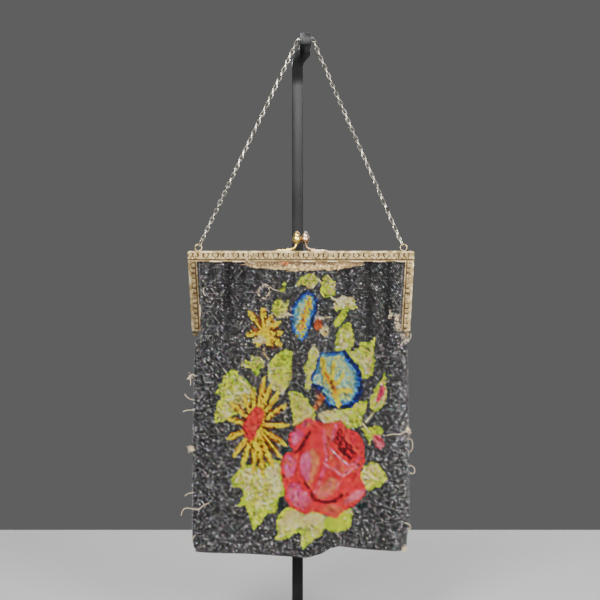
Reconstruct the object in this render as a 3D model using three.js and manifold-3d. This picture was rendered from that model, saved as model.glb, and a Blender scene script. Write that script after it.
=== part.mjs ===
// A beaded evening purse of the 1920s: a flat bag of seed beads on a square brass frame with a kiss
// clasp, hung by its chain over the arm of a plain steel stand. Millimetres, +Z up, front towards -Y.
import * as THREE from "three";
import { mergeVertices } from "three/addons/utils/BufferGeometryUtils.js";
import Module from "manifold-3d";

const wasm = await Module();
wasm.setup();

// Frame
const FRAME_TOP = 317; // height of its top edge above the ground
const FRAME_WIDTH = 190;
const FRAME_DEPTH = 11; // both halves together
const BAR_HEIGHT = 8.7;
const ARM_FACE = 7.3; // width of an arm seen from the front
const ARM_DROP = 67; // top edge to the arms' ends
const ARM_LEAN = 3.8; // how far an arm's end lies inside its top
const CORNER_RADIUS = 2.4;
const METAL = 1.2; // wall of the stamped channel
const CLEARANCE = 0.3; // gap between pieces that touch
const SETBACK = 0.1; // keeps the faces of joined blocks out of one plane

// Raised border of the frame
const RIM_WIDTH = 1.6;
const LINE_WIDTH = 0.8;
const RIM_RISE = 0.5;
const SCROLL_RISE = 0.4;
const SCROLL_PITCH = 8.4;
const SCROLL_RADIUS = 1.55;
const SCROLL_BAND = 0.6;
const SCROLL_GAP = 0.9; // radians to each side of the middle of a scroll's gap
const RIBBON_WAVE = 0.3;
const RIBBON_PLACE = 0.75; // its middle, above the inner line

// Hinges
const EAR_RADIUS = 2.2;
const EAR_THICKNESS = 1.3;
const EAR_INSET = 4; // arm's outer edge to the inner face of the inner ear
const PIN_RADIUS = 0.8;
const PIN_HEAD_RADIUS = 1.5;
const PIN_HEAD_THICKNESS = 0.5;

// Eyes and end links
const EYE_INSET = 8.5; // frame's end to an eye's centre
const EYE_RADIUS = 2.85; // to the middle of the wire
const EYE_WIRE = 0.65;
const END_LINK_LENGTH = 6.5; // between the middles of the wire at the two ends
const END_LINK_RADIUS = 1.65;
const END_LINK_WIRE = 0.55;
const END_LINK_TURN = 0.45; // radians, about its own length

// Kiss clasp
const KNOB_RADIUS = 3.85;
const KNOB_HEIGHT = 9.7;
const KNOB_SPREAD = 7.1; // between the two knobs, along the frame
const COLLAR_RADIUS = 2.5;
const COLLAR_HEIGHT = 0.9;
const STEM_RADIUS = 1.1;
const STEM_RISE = 6.4; // frame's top to the collar
const STEM_RUN = 8.4; // along the frame, from the foot to the knob's axis
const FOOT_LENGTH = 14.4;
const FOOT_WIDTH = 3.4;
const FOOT_THICKNESS = 1.3;

// Bag
const BAG_DROP = 191; // arms' ends to the lowest bead
const BAG_WIDTH = 184;
const BAG_DEPTH = 16;
const CLOTH = 1.5;
const CLOTH_TUCK = 1.3; // how far the cloth reaches behind the frame's inner edge
const SLIT_DROP = 6.5; // arms' ends to the foot of a side slit
const SLIT_WIDTH = 2.5; // how far a slit's cut reaches in from the cloth's edge
const MOUTH_CLEARANCE = 1; // frame's top wall to the cloth's top edge
const MOUTH_SQUARE = 24; // how square the bag's section is inside the frame
const BAG_FLOOR = 2.3; // thickness of the closed hem, over the cloth's own

// Header tape
const TAPE_LENGTH = 99;
const TAPE_OFFSET = 2.5; // its middle, to the right of the frame's
const TAPE_HEIGHT = 7.6; // where it hangs lowest
const TAPE_THICKNESS = 1.2;

// Chain
const CHAIN_RADIUS = 1.7;
const CHAIN_STEP = 12;

// Stand
const STAND_HEIGHT = 498;
const BAR = 9.5; // side of the square bar
const ARM_REACH = 57; // post's middle to the arm's end
const ARM_FRONT = 12; // the arm's end, in front of the frame's middle
const ARM_SIDE = 3.6; // arm's middle, to the right of the frame's
const POST_JOG = 6.6; // arm's middle to the post's, to the left
const BEND_RADIUS = 30;
const SEAT_DEPTH = 4;
const SEAT_WIDTH = 4.6;
const BASE_WIDTH = 130;
const BASE_DEPTH = 130;
const BASE_THICKNESS = 6;
const BASE_CORNER = 6;

// Places that follow from the sizes
const HALF_DEPTH = FRAME_DEPTH / 2;
const BAR_BOTTOM = FRAME_TOP - BAR_HEIGHT;
const ARM_END = FRAME_TOP - ARM_DROP;
const BAG_BOTTOM = ARM_END - BAG_DROP;
const BAG_TOP = FRAME_TOP - METAL - MOUTH_CLEARANCE;
const MOUTH_DEPTH = HALF_DEPTH - METAL - CLEARANCE; // half the cloth's depth inside the frame
const HALF_LAYER = (HALF_DEPTH + CLEARANCE / 2) / 2; // middle of a half of the frame
const HINGE_Z = ARM_END - EAR_RADIUS - 0.5;
const EYE_X = FRAME_WIDTH / 2 - EYE_INSET;
const EYE_Z = FRAME_TOP + EYE_RADIUS + EYE_WIRE / 2;
const CHAIN_Y = HALF_LAYER;
const SEAT_Z = STAND_HEIGHT - SEAT_DEPTH;
const POST_X = ARM_SIDE - POST_JOG;
const POST_Y = ARM_REACH - ARM_FRONT;

// Sections of the bag from its hem to its mouth: height, width and depth as shares of the bag's own,
// and how square the section is. Inside the frame, width and depth follow the frame instead.
const BAG_SECTIONS = [
  { height: 0, left: 0.968, right: 0.964, depth: 0.2, square: 3 },
  { height: 0.02, left: 0.985, right: 0.97, depth: 0.45, square: 3 },
  { height: 0.06, left: 1, right: 0.978, depth: 0.66, square: 3.2 },
  { height: 0.16, left: 1, right: 0.998, depth: 0.86, square: 3.6 },
  { height: 0.42, left: 0.998, right: 0.992, depth: 0.98, square: 4 },
  { height: 0.8, left: 0.982, right: 0.986, depth: 0.88, square: 6 },
  { height: 0.935, left: 0.972, right: 0.972, depth: 0.8, square: 9 },
];

// The hem from left to right: place across as a share of half the width, and rise as a share of the drop.
const HEM = [
  { across: -1, rise: 0.026 },
  { across: -0.9, rise: 0.022 },
  { across: -0.5, rise: 0.018 },
  { across: -0.1, rise: 0.006 },
  { across: 0.05, rise: 0 },
  { across: 0.2, rise: 0.018 },
  { across: 0.27, rise: 0.038 },
  { across: 0.36, rise: 0.05 },
  { across: 0.62, rise: 0.038 },
  { across: 0.9, rise: 0.028 },
  { across: 1, rise: 0.034 },
];

// Folds of the cloth: its face, its place across and half breadth as shares of half the width, its
// height as a share of the bag's depth, and where it starts and ends as shares of the bag's height.
const FOLDS = [
  { face: -1, across: -0.76, breadth: 0.06, out: 0.1, from: 0.6, to: 1.26 },
  { face: -1, across: -0.52, breadth: 0.08, out: 0.11, from: 0.5, to: 1.26 },
  { face: -1, across: -0.12, breadth: 0.2, out: 0.07, from: 0.1, to: 1.2 },
  { face: -1, across: 0.33, breadth: 0.06, out: 0.1, from: 0.55, to: 1.26 },
  { face: -1, across: 0.53, breadth: 0.06, out: 0.11, from: 0.6, to: 1.26 },
  { face: -1, across: 0.73, breadth: 0.06, out: 0.11, from: 0.6, to: 1.26 },
  { face: -1, across: 0.3, breadth: 0.12, out: -0.14, from: -0.1, to: 0.2 },
  { face: -1, across: 0.62, breadth: 0.16, out: 0.08, from: -0.1, to: 0.4 },
  { face: 1, across: -0.7, breadth: 0.08, out: 0.1, from: 0.6, to: 1.26 },
  { face: 1, across: -0.3, breadth: 0.1, out: 0.09, from: 0.5, to: 1.26 },
  { face: 1, across: 0.2, breadth: 0.12, out: 0.08, from: 0.3, to: 1.2 },
  { face: 1, across: 0.56, breadth: 0.08, out: 0.1, from: 0.55, to: 1.26 },
];
const BAG_COLUMNS = 28;

// Half an acorn knob: radius and height as shares of the knob's own, from its base to its point.
const KNOB_PROFILE = [
  { radius: 0.62, height: 0 },
  { radius: 0.88, height: 0.08 },
  { radius: 1, height: 0.22 },
  { radius: 0.96, height: 0.38 },
  { radius: 0.8, height: 0.52 },
  { radius: 0.7, height: 0.64 },
  { radius: 0.52, height: 0.84 },
  { radius: 0.22, height: 0.96 },
];

// A closed solid from a geometry, with its shared corners merged and its collapsed faces dropped.
function solidOf(geometry) {
  const bare = geometry.clone();
  bare.deleteAttribute("normal");
  bare.deleteAttribute("uv");
  const merged = mergeVertices(bare, 1e-4);
  const corners = merged.index.array;
  const kept = [];
  for (let i = 0; i < corners.length; i += 3) {
    const [a, b, c] = corners.subarray(i, i + 3);
    if (a !== b && b !== c && c !== a) kept.push(a, b, c);
  }
  return new wasm.Manifold(
    new wasm.Mesh({
      numProp: 3,
      vertProperties: merged.attributes.position.array,
      triVerts: new Uint32Array(kept),
    }),
  );
}

function geometryOf(solid) {
  const mesh = solid.getMesh();
  const geometry = new THREE.BufferGeometry();
  geometry.setAttribute("position", new THREE.BufferAttribute(mesh.vertProperties, 3));
  geometry.setIndex(new THREE.BufferAttribute(mesh.triVerts, 1));
  geometry.computeVertexNormals();
  return geometry;
}

function join(pieces) {
  return geometryOf(pieces.map(solidOf).reduce((whole, piece) => whole.add(piece)));
}

function cut(piece, tools) {
  return geometryOf(tools.map(solidOf).reduce((left, tool) => left.subtract(tool), solidOf(piece)));
}

// A box between two corners.
function block(low, high) {
  const size = high.map((value, i) => value - low[i]);
  const box = new THREE.BoxGeometry(...size);
  return box.translate(...low.map((value, i) => value + size[i] / 2));
}

// A box on one side of the middle, between two distances from it and two corners in Y and Z.
function sideBlock(side, near, far, low, high) {
  const [left, right] = side < 0 ? [-far, -near] : [near, far];
  return block([left, ...low], [right, ...high]);
}

// A flat shape drawn in X and Z, filled from one depth to another.
function slab(shape, front, back, curveSegments = 4) {
  const options = { depth: back - front, bevelEnabled: false, curveSegments };
  return new THREE.ExtrudeGeometry(shape, options).rotateX(Math.PI / 2).translate(0, back, 0);
}

// A route of straight runs, which a sweep samples at the chosen points and nowhere else.
class Route extends THREE.Curve {
  constructor(points) {
    super();
    this.points = points;
  }

  getPoint(t, target = new THREE.Vector3()) {
    const last = this.points.length - 1;
    const place = THREE.MathUtils.clamp(t, 0, 1) * last;
    const run = Math.min(Math.floor(place + 1e-9), last - 1);
    return target.lerpVectors(this.points[run], this.points[run + 1], place - run);
  }

  getPointAt(u, target) {
    return this.getPoint(u, target);
  }

  getTangentAt(u, target) {
    return this.getTangent(u, target);
  }
}

// A round bar of eight sides along a list of points.
function rod(points, radius, sides = 8) {
  const section = new THREE.Shape();
  for (let i = 0; i < sides; i += 1) {
    const angle = ((i + 0.5) * 2 * Math.PI) / sides;
    const x = radius * Math.cos(angle);
    const y = radius * Math.sin(angle);
    if (i === 0) section.moveTo(x, y);
    else section.lineTo(x, y);
  }
  const extrudePath = new Route(points);
  return new THREE.ExtrudeGeometry(section, { extrudePath, steps: points.length - 1 });
}

// A value between the rows of a table, by one of its columns.
function between(rows, key, at, column) {
  const next = rows.findIndex((row) => row[key] >= at);
  if (next === 0) return rows[0][column];
  if (next < 0) return rows[rows.length - 1][column];
  const low = rows[next - 1];
  const share = (at - low[key]) / (rows[next][key] - low[key]);
  return THREE.MathUtils.lerp(low[column], rows[next][column], share);
}

// How far the frame's outer edge lies from its middle at a height.
function frameEdge(z) {
  return FRAME_WIDTH / 2 - (ARM_LEAN * (FRAME_TOP - z)) / ARM_DROP;
}

// The frame's outline, open below, between two sets of insets from its outer edge.
function frameBand(outer, inner) {
  const corner = Math.max(CORNER_RADIUS - outer.arm, 0.4);
  const top = FRAME_TOP - outer.bar;
  const low = FRAME_TOP - inner.bar;
  const outside = (z) => frameEdge(z) - outer.arm;
  const inside = (z) => frameEdge(z) - inner.arm;
  const shape = new THREE.Shape();
  shape.moveTo(outside(ARM_END), ARM_END);
  shape.lineTo(outside(top - corner), top - corner);
  shape.quadraticCurveTo(outside(top), top, outside(top) - corner, top);
  shape.lineTo(corner - outside(top), top);
  shape.quadraticCurveTo(-outside(top), top, -outside(top - corner), top - corner);
  shape.lineTo(-outside(ARM_END), ARM_END);
  shape.lineTo(-inside(ARM_END), ARM_END);
  shape.lineTo(-inside(low), low);
  shape.lineTo(inside(low), low);
  shape.lineTo(inside(ARM_END), ARM_END);
  shape.closePath();
  return shape;
}

// One raised C of the border, its gap turned to an angle.
function scroll(x, z, turn) {
  const from = turn + SCROLL_GAP;
  const to = turn + 2 * Math.PI - SCROLL_GAP;
  const shape = new THREE.Shape();
  shape.absarc(x, z, SCROLL_RADIUS, from, to, false);
  shape.absarc(x, z, SCROLL_RADIUS - SCROLL_BAND, to, from, true);
  return slab(shape, -HALF_DEPTH - SCROLL_RISE, -HALF_DEPTH + METAL / 2, 3);
}

// The waved ribbon under the row of scrolls, one arch for each of them.
function ribbon(count) {
  const steps = 3;
  const middle = BAR_BOTTOM + LINE_WIDTH + RIBBON_PLACE;
  const upper = [];
  const lower = [];
  for (let i = 0; i <= count * steps; i += 1) {
    const x = (i / steps - count / 2) * SCROLL_PITCH;
    const z = middle - RIBBON_WAVE * Math.cos((2 * Math.PI * i) / steps);
    upper.push(new THREE.Vector2(x, z + SCROLL_BAND / 2));
    lower.push(new THREE.Vector2(x, z - SCROLL_BAND / 2));
  }
  const shape = new THREE.Shape([...lower, ...upper.reverse()]);
  return slab(shape, -HALF_DEPTH - SCROLL_RISE, -HALF_DEPTH + METAL / 2);
}

// The raised scrolls along the bar and down both arms, with the ribbon under those of the bar.
function border() {
  const room = ARM_FACE - RIM_WIDTH - LINE_WIDTH;
  const barCount = Math.floor((FRAME_WIDTH - 2 * ARM_FACE) / SCROLL_PITCH);
  const armCount = Math.round((ARM_DROP - BAR_HEIGHT) / SCROLL_PITCH);
  const armPitch = (ARM_DROP - BAR_HEIGHT) / armCount;
  const barZ = FRAME_TOP - RIM_WIDTH - SCROLL_RADIUS - CLEARANCE;
  const pieces = [ribbon(barCount)];
  for (let i = 0; i < barCount; i += 1) {
    const x = (i - (barCount - 1) / 2) * SCROLL_PITCH;
    pieces.push(scroll(x, barZ, i % 2 ? 0.5 : 2.6));
  }
  for (const side of [-1, 1]) {
    for (let i = 0; i < armCount; i += 1) {
      const z = BAR_BOTTOM - (i + 0.5) * armPitch;
      const x = frameEdge(z) - RIM_WIDTH - room / 2;
      pieces.push(scroll(side * x, z, i % 2 ? 1.2 : 4.4));
    }
  }
  return pieces;
}

// A ring of wire in the frame's top, upright and facing the front.
function eye(side) {
  const ring = new THREE.TorusGeometry(EYE_RADIUS, EYE_WIRE, 6, 14).rotateX(Math.PI / 2);
  return ring.translate(side * EYE_X, -CHAIN_Y, EYE_Z);
}

// The cap that closes an arm's end, with its hinge ear below.
function armEnd(side, earInset) {
  const edge = frameEdge(ARM_END) - SETBACK / 2;
  const back = -CLEARANCE / 2;
  const high = ARM_END + METAL;
  const capIn = edge - EAR_INSET - METAL;
  const cap = sideBlock(side, capIn, edge, [-HALF_DEPTH + SETBACK, ARM_END], [back, high]);
  const ridgeIn = frameEdge(ARM_END) - ARM_FACE + SETBACK / 2;
  const ridgeFront = -HALF_DEPTH - RIM_RISE - SETBACK;
  const ridge = sideBlock(side, ridgeIn, edge, [ridgeFront, ARM_END], [-HALF_DEPTH + METAL / 2, high]);
  const ear = frameEdge(ARM_END) - earInset;
  const tab = sideBlock(side, ear - EAR_THICKNESS, ear, [-EAR_RADIUS, HINGE_Z], [back, ARM_END + METAL / 2]);
  const disc = new THREE.CylinderGeometry(EAR_RADIUS, EAR_RADIUS, EAR_THICKNESS, 14);
  disc.rotateZ(Math.PI / 2).translate(side * (ear - EAR_THICKNESS / 2), 0, HINGE_Z);
  return [cap, ridge, tab, disc];
}

// One half of the frame, drawn as the front one.
function frameHalf(earInset, extras) {
  const outside = { bar: 0, arm: 0 };
  const inside = { bar: BAR_HEIGHT, arm: ARM_FACE };
  const face = frameBand(outside, inside);
  const wall = frameBand(outside, { bar: METAL, arm: METAL });
  const rim = frameBand(outside, { bar: RIM_WIDTH, arm: RIM_WIDTH });
  const line = frameBand({ bar: BAR_HEIGHT - LINE_WIDTH, arm: ARM_FACE - LINE_WIDTH }, inside);
  const pieces = [
    slab(face, -HALF_DEPTH, -HALF_DEPTH + METAL),
    slab(wall, -HALF_DEPTH + SETBACK, -CLEARANCE / 2),
    slab(rim, -HALF_DEPTH - RIM_RISE, -HALF_DEPTH + METAL / 2),
    slab(line, -HALF_DEPTH - SCROLL_RISE, -HALF_DEPTH + METAL / 2),
    ...border(),
    ...armEnd(-1, earInset),
    ...armEnd(1, earInset),
    ...extras,
  ];
  const boreRadius = PIN_RADIUS + CLEARANCE;
  const bore = new THREE.CylinderGeometry(boreRadius, boreRadius, FRAME_WIDTH, 14);
  bore.rotateZ(Math.PI / 2).translate(0, 0, HINGE_Z);
  return cut(join(pieces), [bore]);
}

// A rivet through the two ears under an arm, with a head at each end.
function hingePin(side) {
  const inner = frameEdge(ARM_END) - EAR_INSET - CLEARANCE;
  const outer = inner + 2 * EAR_THICKNESS + 3 * CLEARANCE;
  const length = outer - inner + PIN_HEAD_THICKNESS;
  const middle = (side * (inner + outer)) / 2;
  const bar = new THREE.CylinderGeometry(PIN_RADIUS, PIN_RADIUS, length, 10).rotateZ(Math.PI / 2);
  const heads = [-1, 1].map((end) => {
    const head = new THREE.CylinderGeometry(PIN_HEAD_RADIUS, PIN_HEAD_RADIUS, PIN_HEAD_THICKNESS, 10);
    return head.rotateZ(Math.PI / 2).translate((end * length) / 2, 0, 0);
  });
  return join([bar, ...heads]).translate(middle, 0, HINGE_Z);
}

// Half of the kiss clasp, drawn as the front one: foot, stem, collar and acorn knob in one.
function clasp() {
  const knobX = -KNOB_SPREAD / 2;
  const reach = 2 * (KNOB_RADIUS + CLEARANCE / 2);
  const knobY = -Math.sqrt(Math.max(reach ** 2 - KNOB_SPREAD ** 2, 0)) / 2;
  const footZ = FRAME_TOP + CLEARANCE;
  const knobZ = FRAME_TOP + STEM_RISE + COLLAR_HEIGHT;
  const stemZ = footZ + STEM_RADIUS;
  const stem = new THREE.CubicBezierCurve3(
    new THREE.Vector3(knobX - STEM_RUN, -HALF_LAYER, stemZ),
    new THREE.Vector3(knobX - STEM_RUN * 0.35, -HALF_LAYER, stemZ),
    new THREE.Vector3(knobX, knobY, stemZ + STEM_RISE * 0.2),
    new THREE.Vector3(knobX, knobY, FRAME_TOP + STEM_RISE + COLLAR_HEIGHT / 2),
  );
  const footEnd = knobX - STEM_RUN + FOOT_LENGTH * 0.22;
  const foot = new THREE.Shape();
  foot.moveTo(footEnd, footZ);
  foot.lineTo(footEnd, footZ + FOOT_THICKNESS);
  foot.lineTo(footEnd - FOOT_LENGTH * 0.85, footZ + FOOT_THICKNESS);
  foot.quadraticCurveTo(footEnd - FOOT_LENGTH, footZ + FOOT_THICKNESS, footEnd - FOOT_LENGTH, footZ);
  foot.closePath();
  const profile = [
    new THREE.Vector2(0, -COLLAR_HEIGHT),
    new THREE.Vector2(COLLAR_RADIUS, -COLLAR_HEIGHT),
    new THREE.Vector2(COLLAR_RADIUS, -COLLAR_HEIGHT * 0.1),
    ...KNOB_PROFILE.map((row) => new THREE.Vector2(row.radius * KNOB_RADIUS, row.height * KNOB_HEIGHT)),
    new THREE.Vector2(0, KNOB_HEIGHT),
  ];
  const knob = new THREE.LatheGeometry(profile, 16).rotateX(Math.PI / 2);
  knob.translate(knobX, knobY, knobZ);
  return join([
    slab(foot, -HALF_LAYER - FOOT_WIDTH / 2, -HALF_LAYER + FOOT_WIDTH / 2),
    rod(stem.getPoints(8), STEM_RADIUS),
    knob,
  ]);
}

// How far the cloth reaches to each side at a height inside the frame.
function clothEdge(z) {
  return frameEdge(z) - ARM_FACE + CLOTH_TUCK;
}

// Half width, half depth and squareness of the bag at a share of its drop, inside the frame over 1.
function bagSection(share, side) {
  const z = BAG_BOTTOM + share * BAG_DROP;
  const neck = 1 - SLIT_DROP / BAG_DROP;
  const half = BAG_WIDTH / 2;
  const last = BAG_SECTIONS[BAG_SECTIONS.length - 1];
  if (share > last.height) {
    const toNeck = Math.min((share - last.height) / (neck - last.height), 1);
    const toArms = Math.min((share - last.height) / (1 - last.height), 1);
    return {
      half: THREE.MathUtils.lerp(half * last[side], clothEdge(z), toNeck ** 2),
      depth: THREE.MathUtils.lerp((BAG_DEPTH / 2) * last.depth, MOUTH_DEPTH, toArms),
      square: THREE.MathUtils.lerp(last.square, MOUTH_SQUARE, toNeck),
    };
  }
  return {
    half: half * between(BAG_SECTIONS, "height", share, side),
    depth: (BAG_DEPTH / 2) * between(BAG_SECTIONS, "height", share, "depth"),
    square: between(BAG_SECTIONS, "height", share, "square"),
  };
}

// How far the folds lift a face of the cloth at a place.
function foldLift(face, across, share) {
  const tapeShare = (BAR_BOTTOM - TAPE_HEIGHT - TAPE_THICKNESS - BAG_BOTTOM) / BAG_DROP;
  const freeAbove = THREE.MathUtils.smoothstep(tapeShare - share, 0, 0.06);
  const freeBeside = THREE.MathUtils.smoothstep(0.9 - Math.abs(across), 0, 0.08);
  const inFrame = share > 1 - SLIT_DROP / BAG_DROP ? 0.7 : 1;
  let lift = 0;
  for (const fold of FOLDS) {
    if (fold.face !== face) continue;
    const over = (across - fold.across) / fold.breadth;
    const along = (share - fold.from) / (fold.to - fold.from);
    const fade = THREE.MathUtils.smoothstep(along, 0, 0.35) * THREE.MathUtils.smoothstep(1 - along, 0, 0.1);
    lift += fold.out * BAG_DEPTH * Math.exp(-over * over) * fade;
  }
  return lift * freeAbove * freeBeside * inFrame;
}

// A point of the cloth: outside or inside by its wall, on a face, at a place across and up.
function clothPoint(inset, face, across, share) {
  const top = (BAG_TOP - BAG_BOTTOM) / BAG_DROP;
  const rise = between(HEM, "across", across, "rise") * BAG_DROP * (1 - share / top);
  const { half, depth, square } = bagSection(share, across < 0 ? "left" : "right");
  const bulge = Math.max(1 - Math.abs(across) ** square, 0) ** 0.5;
  const y = Math.max(depth - inset, 0.4) * bulge + foldLift(face, across, share) * bulge;
  const z = BAG_BOTTOM + rise + share * BAG_DROP;
  return [across * (half - inset), face * y, z];
}

// The bag as one shell, its outer and inner skins joined round the mouth, and the side slits cut.
function beadedBag() {
  const top = (BAG_TOP - BAG_BOTTOM) / BAG_DROP;
  const neck = 1 - SLIT_DROP / BAG_DROP;
  const frameRows = [0.35, 0.75].map((part) => THREE.MathUtils.lerp(1, top, part));
  const outerRows = [...BAG_SECTIONS.map((row) => row.height), neck, 1, ...frameRows, top];
  const innerRows = [(CLOTH + BAG_FLOOR) / BAG_DROP, ...outerRows.slice(2)];
  const loop = [];
  for (let i = 0; i < 2 * BAG_COLUMNS; i += 1) {
    const face = i < BAG_COLUMNS ? -1 : 1;
    const v = face < 0 ? (2 * i) / BAG_COLUMNS - 1 : 3 - (2 * i) / BAG_COLUMNS;
    loop.push({ face, across: 0.55 * v + 0.45 * Math.sin((v * Math.PI) / 2) });
  }
  const count = loop.length;
  const positions = [];
  const indices = [];
  const addRows = (rows, inset) => {
    const first = positions.length / 3;
    for (const share of rows) {
      for (const { face, across } of loop) positions.push(...clothPoint(inset, face, across, share));
    }
    return first;
  };
  const quad = (a, b, c, d) => indices.push(a, b, c, a, c, d);
  const skin = (first, rows, flip) => {
    for (let row = 0; row + 1 < rows; row += 1) {
      for (let i = 0; i < count; i += 1) {
        const a = first + row * count + i;
        const b = first + row * count + ((i + 1) % count);
        if (flip) quad(b, a, a + count, b + count);
        else quad(a, b, b + count, a + count);
      }
    }
    for (let i = 0; i < BAG_COLUMNS; i += 1) {
      const front = first + i;
      const back = first + ((count - i) % count);
      const nextBack = first + count - i - 1;
      if (flip) quad(front, front + 1, nextBack, back);
      else quad(front + 1, front, back, nextBack);
    }
  };
  const outer = addRows(outerRows, 0);
  const inner = addRows(innerRows, CLOTH);
  skin(outer, outerRows.length, false);
  skin(inner, innerRows.length, true);
  const outerTop = outer + (outerRows.length - 1) * count;
  const innerTop = inner + (innerRows.length - 1) * count;
  for (let i = 0; i < count; i += 1) {
    const next = (i + 1) % count;
    quad(outerTop + i, outerTop + next, innerTop + next, innerTop + i);
  }
  const shell = new THREE.BufferGeometry();
  shell.setAttribute("position", new THREE.Float32BufferAttribute(positions, 3));
  shell.setIndex(indices);
  const slitInner = clothEdge(ARM_END) - SLIT_WIDTH;
  const slitDepth = MOUTH_DEPTH - CLOTH;
  const slitLow = ARM_END - SLIT_DROP;
  return cut(shell, [
    block([slitInner, -slitDepth, slitLow], [FRAME_WIDTH, slitDepth, STAND_HEIGHT]),
    block([-FRAME_WIDTH, -slitDepth, slitLow], [-slitInner, slitDepth, STAND_HEIGHT]),
  ]);
}

// The tape that hangs from the front half's inner edge, lowest in its middle.
function headerTape() {
  const top = BAR_BOTTOM - CLEARANCE;
  const steps = 20;
  const shape = new THREE.Shape();
  shape.moveTo(TAPE_OFFSET + TAPE_LENGTH / 2, top);
  shape.lineTo(TAPE_OFFSET - TAPE_LENGTH / 2, top);
  for (let i = 0; i <= steps; i += 1) {
    const v = (2 * i) / steps - 1;
    const hang = 0.28 + 0.72 * (1 - Math.abs(v) ** 2.4) - 0.05 * Math.sin(9 * v);
    shape.lineTo(TAPE_OFFSET + (v * TAPE_LENGTH) / 2, top - TAPE_HEIGHT * hang);
  }
  shape.closePath();
  const back = -MOUTH_DEPTH - CLEARANCE;
  return slab(shape, back - TAPE_THICKNESS, back);
}

// Where one leg of the chain runs: from an eye's middle past the edge of the seat in the arm.
function chainLeg(side) {
  const start = new THREE.Vector2(side * EYE_X, EYE_Z);
  const edge = new THREE.Vector2(ARM_SIDE + (side * BAR) / 2, SEAT_Z);
  const turn = CHAIN_RADIUS + CLEARANCE;
  const away = edge.clone().sub(start);
  const distance = away.length();
  const lean = Math.asin(turn / distance);
  const direction = away.divideScalar(distance).rotateAround(new THREE.Vector2(), -side * lean);
  return { start, edge, direction, turn, length: distance * Math.cos(lean) };
}

function endLink(side) {
  const { start, direction } = chainLeg(side);
  const link = new THREE.TorusGeometry(END_LINK_RADIUS, END_LINK_WIRE, 6, 16).rotateZ(Math.PI / 16);
  const place = link.getAttribute("position");
  const stretch = END_LINK_LENGTH / 2 - END_LINK_RADIUS;
  for (let i = 0; i < place.count; i += 1) {
    place.setY(i, place.getY(i) + Math.sign(place.getY(i)) * stretch);
  }
  const low = EYE_RADIUS - EYE_WIRE - CLEARANCE - END_LINK_WIRE;
  const along = low + END_LINK_LENGTH / 2;
  link.rotateY(Math.PI / 2 - END_LINK_TURN).rotateX(Math.PI / 2);
  link.rotateY(Math.atan2(direction.x, direction.y));
  return link.translate(start.x + direction.x * along, CHAIN_Y, start.y + direction.y * along);
}

// The chain's envelope from one end link over the arm to the other.
function chain() {
  const points = [];
  for (const side of [-1, 1]) {
    const { start, edge, direction, turn, length } = chainLeg(side);
    const first = EYE_RADIUS - EYE_WIRE - CLEARANCE + END_LINK_LENGTH + CLEARANCE;
    const steps = Math.ceil((length - first) / CHAIN_STEP);
    const leg = [];
    for (let i = 0; i < steps; i += 1) {
      const along = THREE.MathUtils.lerp(first, length, i / steps);
      leg.push([start.x + direction.x * along, start.y + direction.y * along]);
    }
    const from = Math.atan2(-side * direction.x, side * direction.y);
    for (let i = 0; i <= 5; i += 1) {
      const angle = THREE.MathUtils.lerp(from, Math.PI / 2, i / 5);
      leg.push([edge.x + turn * Math.cos(angle), edge.y + turn * Math.sin(angle)]);
    }
    points.push(...(side < 0 ? leg : leg.reverse()));
  }
  return rod(points.map(([x, z]) => new THREE.Vector3(x, CHAIN_Y, z)), CHAIN_RADIUS);
}

// The post and its arm in one bent square bar, with a jog in the bend and a seat cut in the arm's top.
function standPost() {
  const bendSteps = 10;
  const arm = STAND_HEIGHT - BAR / 2;
  const stations = [{ y: POST_Y, z: BASE_THICKNESS + CLEARANCE, angle: 0 }];
  for (let i = 0; i <= bendSteps; i += 1) {
    const angle = ((i / bendSteps) * Math.PI) / 2;
    const y = POST_Y - BEND_RADIUS * (1 - Math.cos(angle));
    stations.push({ y, z: arm - BEND_RADIUS * (1 - Math.sin(angle)), angle });
  }
  stations.push({ y: -ARM_FRONT, z: arm, angle: Math.PI / 2 });
  const positions = [];
  for (const { y, z, angle } of stations) {
    const jog = THREE.MathUtils.smoothstep(angle, Math.PI * 0.22, Math.PI * 0.4);
    const x = POST_X + POST_JOG * jog;
    for (const [across, out] of [[-1, -1], [1, -1], [1, 1], [-1, 1]]) {
      positions.push(
        x + (across * BAR) / 2,
        y + ((out * BAR) / 2) * Math.cos(angle),
        z + ((out * BAR) / 2) * Math.sin(angle),
      );
    }
  }
  const indices = [0, 2, 1, 0, 3, 2];
  for (let row = 0; row + 1 < stations.length; row += 1) {
    for (let i = 0; i < 4; i += 1) {
      const a = row * 4 + i;
      const b = row * 4 + ((i + 1) % 4);
      indices.push(a, b, b + 4, a, b + 4, a + 4);
    }
  }
  const end = (stations.length - 1) * 4;
  indices.push(end, end + 1, end + 2, end, end + 2, end + 3);
  const bar = new THREE.BufferGeometry();
  bar.setAttribute("position", new THREE.Float32BufferAttribute(positions, 3));
  bar.setIndex(indices);
  const half = SEAT_WIDTH / 2;
  const seat = block([-FRAME_WIDTH, CHAIN_Y - half, SEAT_Z], [FRAME_WIDTH, CHAIN_Y + half, STAND_HEIGHT + 1]);
  return cut(bar, [seat]);
}

function standBase() {
  const x = BASE_WIDTH / 2;
  const y = BASE_DEPTH / 2;
  const r = BASE_CORNER;
  const plan = new THREE.Shape();
  plan.absarc(x - r, y - r, r, 0, Math.PI / 2, false);
  plan.absarc(r - x, y - r, r, Math.PI / 2, Math.PI, false);
  plan.absarc(r - x, r - y, r, Math.PI, 1.5 * Math.PI, false);
  plan.absarc(x - r, r - y, r, 1.5 * Math.PI, 2 * Math.PI, false);
  return new THREE.ExtrudeGeometry(plan, { depth: BASE_THICKNESS, bevelEnabled: false, curveSegments: 3 });
}

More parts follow.
